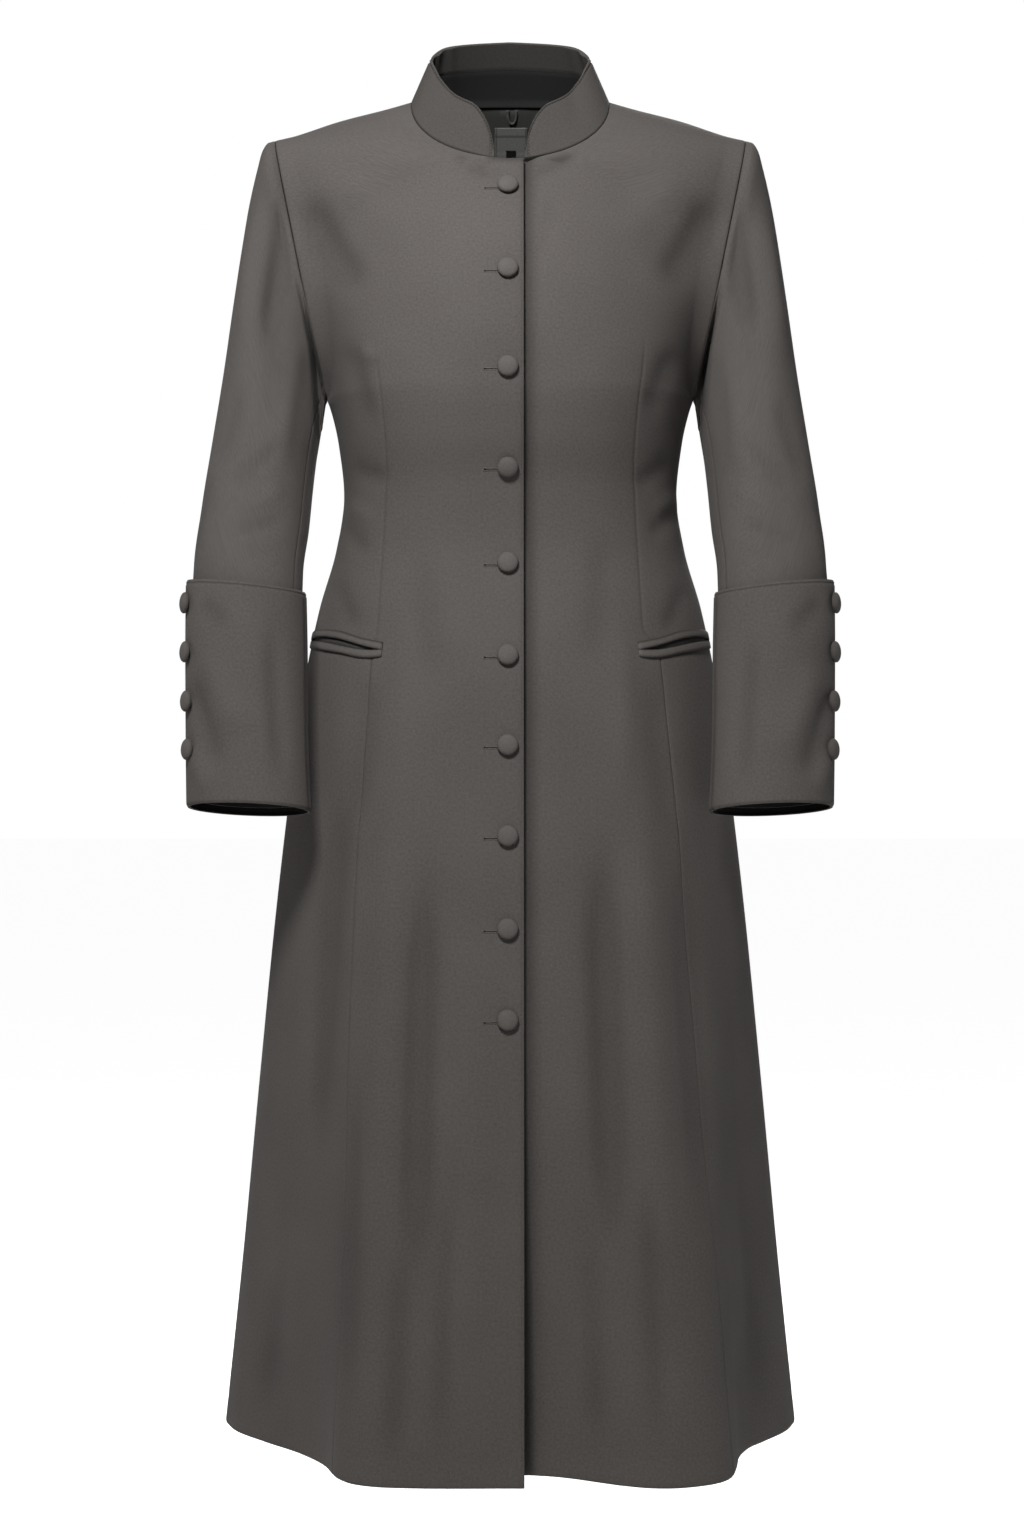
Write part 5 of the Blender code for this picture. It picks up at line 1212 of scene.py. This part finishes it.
# Darker copies of the twill that paint shade: on the collar's outer face, and darker still on its inner strip
COLLAR_TWILL_PAINTED_SHADE = cloth_finish("collar_twill_painted_shade", (0.112, 0.101, 0.094), (0.064, 0.058, 0.054),
                            roughness=0.85, sheen=0.03, relief=0.00020, seam_and_shade_depth=0.6)
COLLAR_STRIP_PAINTED_SHADE = cloth_finish("collar_strip_painted_shade", (0.052, 0.049, 0.045), (0.032, 0.030, 0.028),
                           roughness=0.9, sheen=0.02, relief=0.00016)
# Soft folds in the lining: where round the collar, how wide and how high
COLLAR_FOLDS = ((0.335, 0.012, 0.0022), (0.375, 0.009, 0.0018), (0.625, 0.009, 0.0018),
                (0.665, 0.012, 0.0020))


def collar_feet():
    """The neck seam from the wearer's right end of the collar, round the back, to its left end."""
    first, last = [math.asin(end / NECK_HALF_WIDTH) for end in (COLLAR_END_RIGHT, COLLAR_END_LEFT)]
    right = [neckline(angle, False) * (-1, 1, 1) for angle in np.linspace(first, math.pi / 2, 60)]
    back = [neckline(abs(angle), True) * (math.copysign(1, angle), 1, 1)
            for angle in np.linspace(-math.pi / 2, math.pi / 2, 120)[1:-1]]
    left = [neckline(angle, False) for angle in np.linspace(math.pi / 2, last, 60)]
    return np.concatenate([right, back, lap_shift(np.array(left))])


def band_collar():
    """The collar as one closed band, its outer face, its rolled edge and its inner face."""
    line = collar_feet()
    marks = lengths_along(line)
    whole = marks[-1]
    close = np.array((0, 0.0006, 0.0015, 0.003, 0.005, 0.0075, 0.0105, 0.014, 0.018, 0.0225))
    places = np.concatenate([close, np.linspace(0.027, whole - 0.027, COLLAR_COLUMNS), whole - close[::-1]])
    feet = places_along(line, marks, places)
    along = unit(np.gradient(feet, axis=0))
    inner = unit(np.cross(along, (0, 0, 1.0)))
    inner *= np.sign((inner * (np.array((0, 0.01, 0)) - feet * (1, 1, 0))).sum(axis=1))[:, None]
    angle = np.arcsin(np.clip(abs(feet[:, 0]) / NECK_HALF_WIDTH, 0, 1)) / (math.pi / 2)
    by_angle = lambda table: curve_through(*zip(*table), angle)
    behind = feet[:, 1] > NECK_SIDE_Y
    lean = np.radians(np.where(behind, by_angle(COLLAR_BACK_LEANS), by_angle(COLLAR_FRONT_LEANS)))
    height = np.where(behind, by_angle(COLLAR_BACK_HEIGHTS), by_angle(COLLAR_FRONT_HEIGHTS))
    from_end = np.clip(np.minimum(places, whole - places) / COLLAR_CORNER, 0, 1)
    height = height * np.maximum(np.sqrt(1 - (1 - from_end) ** 2), COLLAR_LEAST_SHARE)
    rise = np.array((0, 0, 1.0)) * np.cos(lean)[:, None] + inner * np.sin(lean)[:, None]
    through = unit(np.cross(along, rise))
    through *= np.sign((through * inner).sum(axis=1))[:, None]
    half = COLLAR_THICKNESS / 2
    top = height - half
    steep = np.hypot(1, np.clip(np.gradient(top, places), -2.5, 2.5))
    at_end = np.minimum(places, whole - places)
    end_dip = -seam_dip(at_end - COLLAR_EDGE_SEAM, COLLAR_SEAM_DIP, COLLAR_SEAM_WIDTH)
    face = np.array((0, 0.0008, 0.002, 0.005, 0.010, 0.016, 0.022, 0.028, 0.034))
    climb = (top - COLLAR_FOOT - 0.008 * steep).clip(0.0004)
    profile = [(COLLAR_FOOT + climb * step / face[-1], end_dip) for step in face]
    for step in (0.006, 0.0044, 0.0032, 0.0022, 0.0017, 0.0012, 0.0007, 0.0):
        dip = -seam_dip(step + half - COLLAR_EDGE_SEAM, COLLAR_SEAM_DIP, COLLAR_SEAM_WIDTH)
        profile.append((np.maximum(top - step * steep, 0.0008), np.maximum(end_dip, dip)))
    edge_seam = len(face) + 5
    for turn in np.linspace(0, math.pi, 9)[1:-1]:
        profile.append((top + half * math.sin(turn), half * (1 - math.cos(turn)) + 0 * top))
    inside = len(profile)
    for step in (0.0, 0.0012, 0.0026, 0.005, 0.009, 0.014, 0.019):
        profile.append((top - step, COLLAR_THICKNESS + 0 * top))
    for aside, dip in ((-0.0008, 0.0), (0.0, 0.0006), (0.0008, 0.0)):
        profile.append((top - (COLLAR_STRIP - half + aside), COLLAR_THICKNESS - dip + 0 * top))
    strip_foot = len(profile) - 2
    for share in (0.85, 0.65, 0.4, 0.2, 0.0):
        profile.append((COLLAR_FOOT + np.maximum(top - COLLAR_STRIP + half - 0.0008, 0.001) * share,
                        COLLAR_THICKNESS + 0.0008 * (1 - share) ** 2 + 0 * top))
    loops = []
    share_round = places / whole
    for number, (lift, depth) in enumerate(profile):
        lift = np.clip(lift, COLLAR_FOOT, None)
        if number >= inside:
            high = np.clip(lift / height, 0, 1)
            for middle, width, bulge in COLLAR_FOLDS:
                aside = share_round - middle - 0.02 * (1 - high)
                depth = depth + bulge * high * np.exp(-(aside / width) ** 2)
        loops.append(feet + rise * lift[:, None] + through * depth[:, None])
    for down, depth in COLLAR_LINING_FOOT:
        loops.append(feet + inner * depth - np.array((0, 0, down)))
    grid = np.stack(loops, axis=1)
    count, around = grid.shape[:2]
    cells = tube_cells(count, around)
    r, c = cells[:, 0] // around, cells[:, 0] % around
    up = spans(grid, 1)
    cut = np.stack(np.broadcast_arrays(places[:, None], up), axis=2)
    near = np.zeros(up.shape)
    near[:, :2] = COLLAR_FOOT_TONE
    near[:, edge_seam - 1:edge_seam + 2] = (COLLAR_LINE_TONE, 1.0, COLLAR_LINE_TONE)
    near[:, strip_foot] = COLLAR_STRIP_TONE
    near[:, :edge_seam] = np.maximum(near[:, :edge_seam], (end_dip / COLLAR_SEAM_DIP)[:, None])
    last = (count - 1) * around
    caps = (np.arange(around), last + np.arange(around)[::-1])
    collar = cloth_piece("collar_cloth", grid, cells[:, ::-1], cut, near, (COLLAR_TWILL_PAINTED_SHADE, LINING, COLLAR_STRIP_PAINTED_SHADE),
                         thickness=0, caps=caps)
    back_part = (feet[r, 1] > NECK_SIDE_Y) | (abs(feet[r, 0]) > 0.03)
    index = np.zeros(len(collar.data.polygons), int)
    index[:len(c)] = np.where(c < inside, 0, np.where((c >= strip_foot) & back_part, 1, 2))
    collar.data.polygons.foreach_set("material_index", index)
    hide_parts("collar")
    # The stitches climb one end, run round below the edge and come down the other end
    start, stop = COLLAR_STITCH_COLUMN, count - COLLAR_STITCH_COLUMN - 1
    climbing = np.arange(1, edge_seam)
    level = np.arange(start + 1, stop - 1)
    columns = np.concatenate([np.full_like(climbing, start), level, np.full_like(climbing, stop)])
    steps_up = np.concatenate([climbing, np.full_like(level, edge_seam), climbing[::-1]])
    return grid[columns, steps_up], -through[columns]


COLLAR_SEAM_LINE, COLLAR_SEAM_WAYS = band_collar()


# The neck inside: a dark facing on the back below the collar, with two small tucks, a hanger
# loop of grey tape, and two woven tags left bare. Each is sewn on by its top edge.
FACING_THICKNESS = 0.0004
FACING_LIFT = 0.0007
LOOP_X = 0.0015
LOOP_HALF_WIDTH = 0.0038
LOOP_LENGTH = 0.0110
LOOP_TOP = 0.0086
LOOP_HALF_TAPE = (0.00105, 0.0006)
LOOP_DEPTH = CLOTH + 0.0036
LOOP_TURNS, LOOP_SIDES = 40, 10
FACING_TOP_LEVEL = 0.93
FACING_TUCKS = (-0.0015, 0.0035)
FACING_TUCK_SIZE = (0.0006, 0.0011)
FACING_TUCK_REACH = 0.04
TAG_POINTS = 25
TAG_TURNED_IN, TAG_TURNING = 0.45, 0.0002
LABEL_SIZE = (0.029, 0.026)
LABEL_X = 0.0006
LABEL_HEIGHT = -0.0188
TAG_SIZE = (0.0085, 0.0062)
TAG_HEIGHT = -0.0272
FACING_CLOTH = cloth_finish("facing_lining", (0.038, 0.038, 0.035), (0.025, 0.025, 0.023),
                            roughness=0.75, sheen=0.03, relief=0.00004)
LABEL_CLOTH = cloth_finish("tag_tape", (0.130, 0.130, 0.121), (0.090, 0.090, 0.084),
                           roughness=0.55, sheen=0.1, relief=0.00005, pitch=0.0006, seam_and_shade_depth=0.5)
TAG_CLOTH = cloth_finish("black_tag", (0.008, 0.008, 0.008), (0.004, 0.004, 0.004),
                         roughness=0.5, sheen=0.05, relief=0.00005, pitch=0.0006)
LOOP_TAPE = cloth_finish("loop_tape", (0.095, 0.092, 0.086), (0.035, 0.034, 0.032),
                         roughness=0.7, sheen=0.1, relief=0.0002, pitch=0.0012)


def inside_back(x, height, depth):
    """A place inside the centre back, this deep from its outer face, and the way in from there."""
    line = BACK_GRID[:NECK_ROW + 1, 0]
    y = np.interp(height, line[:, 2], line[:, 1])
    step = 0.004
    above, below = np.interp((height + step, height - step), line[:, 2], line[:, 1])
    slope = (above - below) / (2 * step)
    way_in = np.array([0, -1.0, slope]) / math.hypot(1, slope)
    return np.array([x, y, height]) + way_in * depth, way_in


def line_neck():
    """The facing's two halves, joined at the centre back."""
    low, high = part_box("back_neck_facing")
    first = int(np.argmin(abs(BACK_GRID[:NECK_ROW, 0, 2] - low[2])))
    last = int(np.argmin(abs(LEVELS - FACING_TOP_LEVEL)))
    across = spans(BACK_GRID, 1)
    reach = int(np.argmin(abs(across[first] - high[0])))
    points = BACK_GRID[first:last, :reach + 1] - BACK_NORMALS[first:last, :reach + 1] * (CLOTH + FACING_LIFT)
    height = points[:, :, 2]
    for drop in FACING_TUCKS:
        tuck = seam_dip(height + drop, *FACING_TUCK_SIZE)
        points[:, :, 1] += tuck * np.exp(-(points[:, :, 0] / FACING_TUCK_REACH) ** 4)
    cut = np.stack([across[first:last, :reach + 1], height], axis=2)
    cells = grid_cells((0, last - first - 1), (0, reach), reach + 1)
    near = np.zeros(height.shape)
    near[NECK_ROW - first:, 0] = 0.7
    cells = np.concatenate([cells, cells[:, ::-1] + near.size])
    halves = [points, points * (-1, 1, 1)]
    facing = cloth_piece("back_neck_facing_cloth", halves, cells, [cut, cut], [near, near], (FACING_CLOTH,),
                         thickness=-FACING_THICKNESS)
    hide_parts("back_neck_facing")


def sew_tag(node, size, x, height, depth, finish, folds):
    """A woven tag with turned-in ends, thicker where it is folded."""
    steps = np.linspace(-0.5, 0.5, TAG_POINTS)
    points, cut, near = [], [], []
    for v in steps:
        place, way_in = inside_back(x, height + v * size[1], depth)
        lift = sum(rise * float(smoothstep((v - start) / 0.03) * smoothstep((stop - v) / 0.03))
                   for start, stop, rise in folds)
        for u in steps:
            end = float(smoothstep((abs(u) - TAG_TURNED_IN) / 0.02)) * TAG_TURNING
            points.append(place + np.array([u * size[0], 0, 0]) + way_in * (lift + end))
            cut.append((u * size[0], v * size[1]))
            near.append(max(line_tone(0.46 - abs(u), 1.0, 0.012),
                            *[line_tone(v - start, 1.0, 0.02) for start, _, _ in folds]))
    cells = grid_cells((0, TAG_POINTS - 1), (0, TAG_POINTS - 1), TAG_POINTS)
    tag = cloth_piece(f"{node}_tape", points, cells, cut, near, (finish,), thickness=0.0005)
    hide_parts(node)


def sew_loop():
    """The hanger loop: flat tape turned on edge, its two ends tucked into the neck seam."""
    turns, sides = LOOP_TURNS, LOOP_SIDES
    points, cut = [], []
    for i in range(turns + 1):
        angle = math.pi * i / turns
        sink = 1 + 0.10 * math.sin(angle) ** 4
        place, way_in = inside_back(LOOP_X - LOOP_HALF_WIDTH * math.cos(angle) * sink,
                                    LOOP_TOP - LOOP_LENGTH * math.sin(angle) ** 0.8, LOOP_DEPTH)
        outward = np.array([-math.cos(angle), 0, -math.sin(angle)])
        for j in range(sides):
            turn = 2 * math.pi * j / sides
            plait = 1 + 0.16 * math.sin(i * 1.57 + (j > sides / 2) * math.pi)
            aside = outward * LOOP_HALF_TAPE[0] * math.cos(turn) + way_in * LOOP_HALF_TAPE[1] * math.sin(turn)
            points.append(place + aside * plait)
            cut.append((0.004 * j / sides, 0.024 * i / turns))
    cells = tube_cells(turns + 1, sides)[:, TURNED_OVER]
    caps = (np.arange(sides)[::-1], turns * sides + np.arange(sides))
    loop = cloth_piece("hanger_loop_tape", points, cells, cut, np.zeros(len(points)), (LOOP_TAPE,),
                       thickness=0, caps=caps)
    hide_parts("hanger_loop")


line_neck()
sew_tag("neck_label", LABEL_SIZE, LABEL_X, LABEL_HEIGHT, CLOTH + 0.0024, LABEL_CLOTH,
        ((0.22, 0.6, 0.0004), (-0.6, -0.30, 0.0003)))
sew_tag("care_tag", TAG_SIZE, LABEL_X, TAG_HEIGHT, CLOTH + 0.0034, TAG_CLOTH, ((0.3, 0.6, 0.0003),))
sew_loop()


# The buttons: domed moulds covered in the robe's own twill, gathered in underneath and sewn on
# by a short shank. Ten close the front, and four trim the back edge of each cuff.
BUTTON_RADIUS = 0.009
BUTTON_X = -0.002
FRONT_BUTTON_DROPS = (0.0890, 0.1640, 0.2475, 0.3290, 0.4085, 0.4862, 0.5610, 0.6360, 0.7120, 0.7860)
BUTTON_RIM_PAINTED_SHADE = 0.7
BUTTON_SIDES, BUTTON_DOME_RINGS = 44, 13
BUTTON_DOME, BUTTON_EDGE_HEIGHT = 0.0037, 0.0024
BUTTON_GATHERS, BUTTON_GATHER_DEPTH = 11, 0.02
CUFF_BUTTON_DROPS = (0.4415, 0.4830, 0.5245, 0.5645)
CUFF_BUTTON_ANGLES = (19.7, 21.7, 23.6, 25.6)
BUTTON_CLOTH = cloth_finish("button_twill", (0.168, 0.153, 0.144), (0.112, 0.101, 0.095),
                            roughness=0.80, sheen=0.04, relief=0.00014, pitch=0.0009, seam_and_shade_depth=0.6)


def on_front(x, drop):
    """Places on the right front's outer face, and its outward directions there."""
    _, normals, points = FRONTS["front_right"]
    rows = points[:NECK_ROW + 1]
    x, drop = np.atleast_1d(x), np.atleast_1d(drop)
    places, ways = [], []
    for one_x, one_drop in zip(x, drop):
        upright = lambda grid, axis: [np.interp(-one_x, row[:, 0], values[:, axis])
                                      for row, values in zip(rows, grid)]
        heights = upright(rows, 2)
        way = [np.interp(-one_drop, heights, upright(normals, axis)) for axis in range(3)]
        places.append((one_x, np.interp(-one_drop, heights, upright(rows, 1)), -one_drop))
        ways.append((-way[0], way[1], way[2]))
    return np.array(places), unit(np.array(ways))


def covered_button(node, place, outward, grain):
    """One button at its place, the weave of its cover turned to this angle."""
    steps = BUTTON_SIDES
    tilt = np.linspace(0.06, math.pi / 2, BUTTON_DOME_RINGS)
    turned_under = BUTTON_RADIUS * np.array((0.995, 0.975, 0.93, 0.86, 0.6))
    radius = np.concatenate([BUTTON_RADIUS * np.sin(tilt), turned_under, (0.0034, 0.0031, 0.0031)])
    height = np.concatenate([BUTTON_EDGE_HEIGHT + BUTTON_DOME * np.cos(tilt) ** 0.9,
                             (0.0020, 0.0016, 0.00135, 0.0012, 0.0011, 0.0010, 0.0007, 0.0002)])
    under = np.clip(np.arange(len(radius)) - len(tilt) + 1, 0, 3) / 3
    around = np.linspace(0, 2 * math.pi, steps, endpoint=False)
    gathers = 1 - BUTTON_GATHER_DEPTH * under[:, None] * abs(np.sin(around * BUTTON_GATHERS))[None, :]
    ring_x = radius[:, None] * np.cos(around) * gathers
    ring_y = radius[:, None] * np.sin(around) * gathers
    local = np.stack([ring_x, ring_y, np.broadcast_to(height[:, None], ring_x.shape)], axis=2)
    turn = np.array(Vector((0, 0, 1)).rotation_difference(Vector(outward)).to_matrix())
    points = local.reshape(-1, 3) @ turn.T + place
    stretch = lengths_along(np.stack([radius, height], axis=1)) + radius[0]
    cut = stretch[:, None, None] * np.stack([np.cos(around + grain), np.sin(around + grain)], axis=1)
    # Painted shade round the rim of the dome and on the turned-under cover
    below = np.full(len(radius) - len(tilt), BUTTON_RIM_PAINTED_SHADE)
    rim_painted_shade = np.concatenate([BUTTON_RIM_PAINTED_SHADE * np.sin(tilt) ** 10, below])
    near = np.broadcast_to(np.maximum(under, rim_painted_shade)[:, None], ring_x.shape)
    cells = tube_cells(len(radius), steps)
    caps = (np.arange(steps), (len(radius) - 1) * steps + np.arange(steps)[::-1])
    button = cloth_piece(f"{node}_cover", points, cells, cut, near, (BUTTON_CLOTH,), thickness=0, caps=caps)
    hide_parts(node)


def sew_buttons():
    """The front row and both cuffs' rows."""
    places, ways = on_front([BUTTON_X] * len(FRONT_BUTTON_DROPS), FRONT_BUTTON_DROPS)
    for number, (place, way) in enumerate(zip(places, ways), 1):
        covered_button(f"button_front_{number:02d}", place, way, 0.7 + 1.3 * number)
    stack = np.linspace(0, len(CUFF_RINGS) - 1, 400)
    for number, (drop, degrees) in enumerate(zip(CUFF_BUTTON_DROPS, CUFF_BUTTON_ANGLES), 1):
        angles = np.radians((degrees, degrees + 1))
        line = cuff_grid(angles, stack)
        row = int(np.argmin(abs(line[:, 0, 2] + drop)))
        outward = np.cross(line[row - 3, 0] - line[row + 3, 0], line[row, 1] - line[row, 0])
        outward /= np.linalg.norm(outward)
        for side, word in ((-1, "right"), (1, "left")):
            turn = np.array((side, 1, 1))
            covered_button(f"button_cuff_{word}_{number}", line[row, 0] * turn, outward * turn,
                           0.4 + number + side)


sew_buttons()


# The buttonholes: keyhole ends worked in matching thread round a dark strip that paints the shade
# in the slit, one beside each front button, a little below its middle. The front edge and the
# collar are topstitched.
HOLE_OUTER_X = -0.0222
HOLE_INNER_X = -0.0095
HOLE_BELOW = 0.0022
HOLE_HALF = 0.00075
HOLE_EYE = 0.0013
STITCH_LENGTH = 0.0021
STITCH_GAP = 0.0009
STITCH_HALF = 0.00022
STITCH_LIFT = 0.0001
STITCH_SINK = 0.00015
EDGE_STITCHES = (0.0655, HEM_DROP - 0.003)
HOLE_POINTS, PURL_SIDES = 72, 6
PURL_HALF, PURL_WAVE, PURL_BREADTH = 0.00042, 0.22, 1.35
SLIT_LIFT = 0.00012
THREAD = cloth_finish("matching_thread", (0.150, 0.136, 0.128), (0.095, 0.085, 0.079),
                      roughness=0.7, sheen=0.15, relief=0.0001, pitch=0.0006)
# A dark strip laid over each buttonhole's slit paints the shade in it
PAINTED_SLIT_SHADE = cloth_finish("buttonhole_slit_painted_shade", (0.020, 0.018, 0.017), (0.012, 0.011, 0.011),
                    roughness=0.9, sheen=0.0, relief=0.00003)


def hole_outline(count):
    """The line of a buttonhole's purl, as shares along and across, with its round eye."""
    turn = np.linspace(0, 2 * math.pi, count, endpoint=False)
    along = -np.cos(turn)
    eye = np.exp(-((along + 0.88) / 0.16) ** 2)
    across = np.sin(turn) / np.maximum(abs(np.sin(turn)), 0.35) * (HOLE_HALF + (HOLE_EYE - HOLE_HALF) * eye)
    return along, across


def work_buttonholes():
    """All ten buttonholes: their purl as one piece of thread work, and dark strips inside it that paint the
    shade in the slits.
    """
    count, sides = HOLE_POINTS, PURL_SIDES
    along, across = hole_outline(count)
    middle, half = (HOLE_OUTER_X + HOLE_INNER_X) / 2, (HOLE_INNER_X - HOLE_OUTER_X) / 2
    purl = tube_cells(count + 1, sides)[:, TURNED_OVER] % (count * sides)
    step = np.arange(1, count // 2 - 1)
    slit = np.stack([step, count - step, count - step - 1, step + 1], axis=1)
    points, cells, cut = [], [], []
    slit_points, slit_cells, slit_cut = [], [], []
    for number, drop in enumerate(FRONT_BUTTON_DROPS):
        x, down = middle + half * along, drop + HOLE_BELOW - across
        places, ways = on_front(x, down)
        aside = np.cross(ways, unit(np.roll(places, -1, axis=0) - np.roll(places, 1, axis=0)))
        for i in range(count):
            swell = PURL_HALF * (1 + PURL_WAVE * math.cos(i * math.pi))
            for j in range(sides):
                turn = 2 * math.pi * j / sides
                points.append(places[i] + aside[i] * PURL_BREADTH * swell * math.cos(turn)
                              + ways[i] * swell * math.sin(turn))
                cut.append((0.0003 * i, 0.0003 * j))
        cells.append(number * count * sides + purl)
        slit_points.append(places + ways * SLIT_LIFT)
        slit_cells.append(number * count + slit)
        slit_cut.append(np.stack([x, down], axis=1))
    holes = cloth_piece("buttonholes", points, np.concatenate(cells), cut, np.zeros(len(points)), (THREAD,),
                        thickness=0)
    slit_points, slit_cut = np.concatenate(slit_points), np.concatenate(slit_cut)
    slits = cloth_piece("buttonhole_slits_painted_shade", slit_points, np.concatenate(slit_cells), slit_cut,
                        np.zeros(len(slit_points)), (PAINTED_SLIT_SHADE,), thickness=0)


def stitch_run(name, line, ways):
    """A row of small stitches along a line on the cloth."""
    marks = lengths_along(line)
    starts = np.arange(STITCH_GAP, marks[-1] - STITCH_LENGTH, STITCH_LENGTH + STITCH_GAP)
    begin, end = places_along(line, marks, starts), places_along(line, marks, starts + STITCH_LENGTH)
    way = unit(places_along(ways, marks, starts + STITCH_LENGTH / 2))
    aside = np.cross(way, unit(end - begin))
    rings = []
    for share, swell in ((0.0, 0.45), (0.2, 1.0), (0.8, 1.0), (1.0, 0.45)):
        lift = STITCH_LIFT if 0 < share < 1 else STITCH_LIFT - STITCH_SINK
        centre = begin + (end - begin) * share + way * lift
        for side_way, up_way in ((1, 0), (0, 1), (-1, 0), (0, -1)):
            rings.append(centre + (aside * side_way + way * up_way) * STITCH_HALF * swell)
    points = np.stack(rings, axis=1).reshape(-1, 3)
    cells = []
    for ring_at in range(3):
        for j in range(4):
            k = (j + 1) % 4
            cells.append([4 * ring_at + j, 4 * ring_at + k, 4 * ring_at + 4 + k, 4 * ring_at + 4 + j])
    cells += [[3, 2, 1, 0], [12, 13, 14, 15]]
    cells = (np.array(cells)[None] + 16 * np.arange(len(starts))[:, None, None]).reshape(-1, 4)
    cut = np.tile([(0.0002 * (i % 4), 0.0008 * (i // 4)) for i in range(16)], (len(starts), 1))
    stitches = cloth_piece(name, points, cells, cut, np.zeros(len(points)), (THREAD,), thickness=0)


work_buttonholes()
edge_drops = np.linspace(*EDGE_STITCHES, 160)
edge_line, edge_ways = on_front([OVERLAP_EDGE - EDGE_INSET] * len(edge_drops), edge_drops)
stitch_run("front_edge_stitching", edge_line, edge_ways)
stitch_run("collar_stitching", COLLAR_SEAM_LINE, COLLAR_SEAM_WAYS)
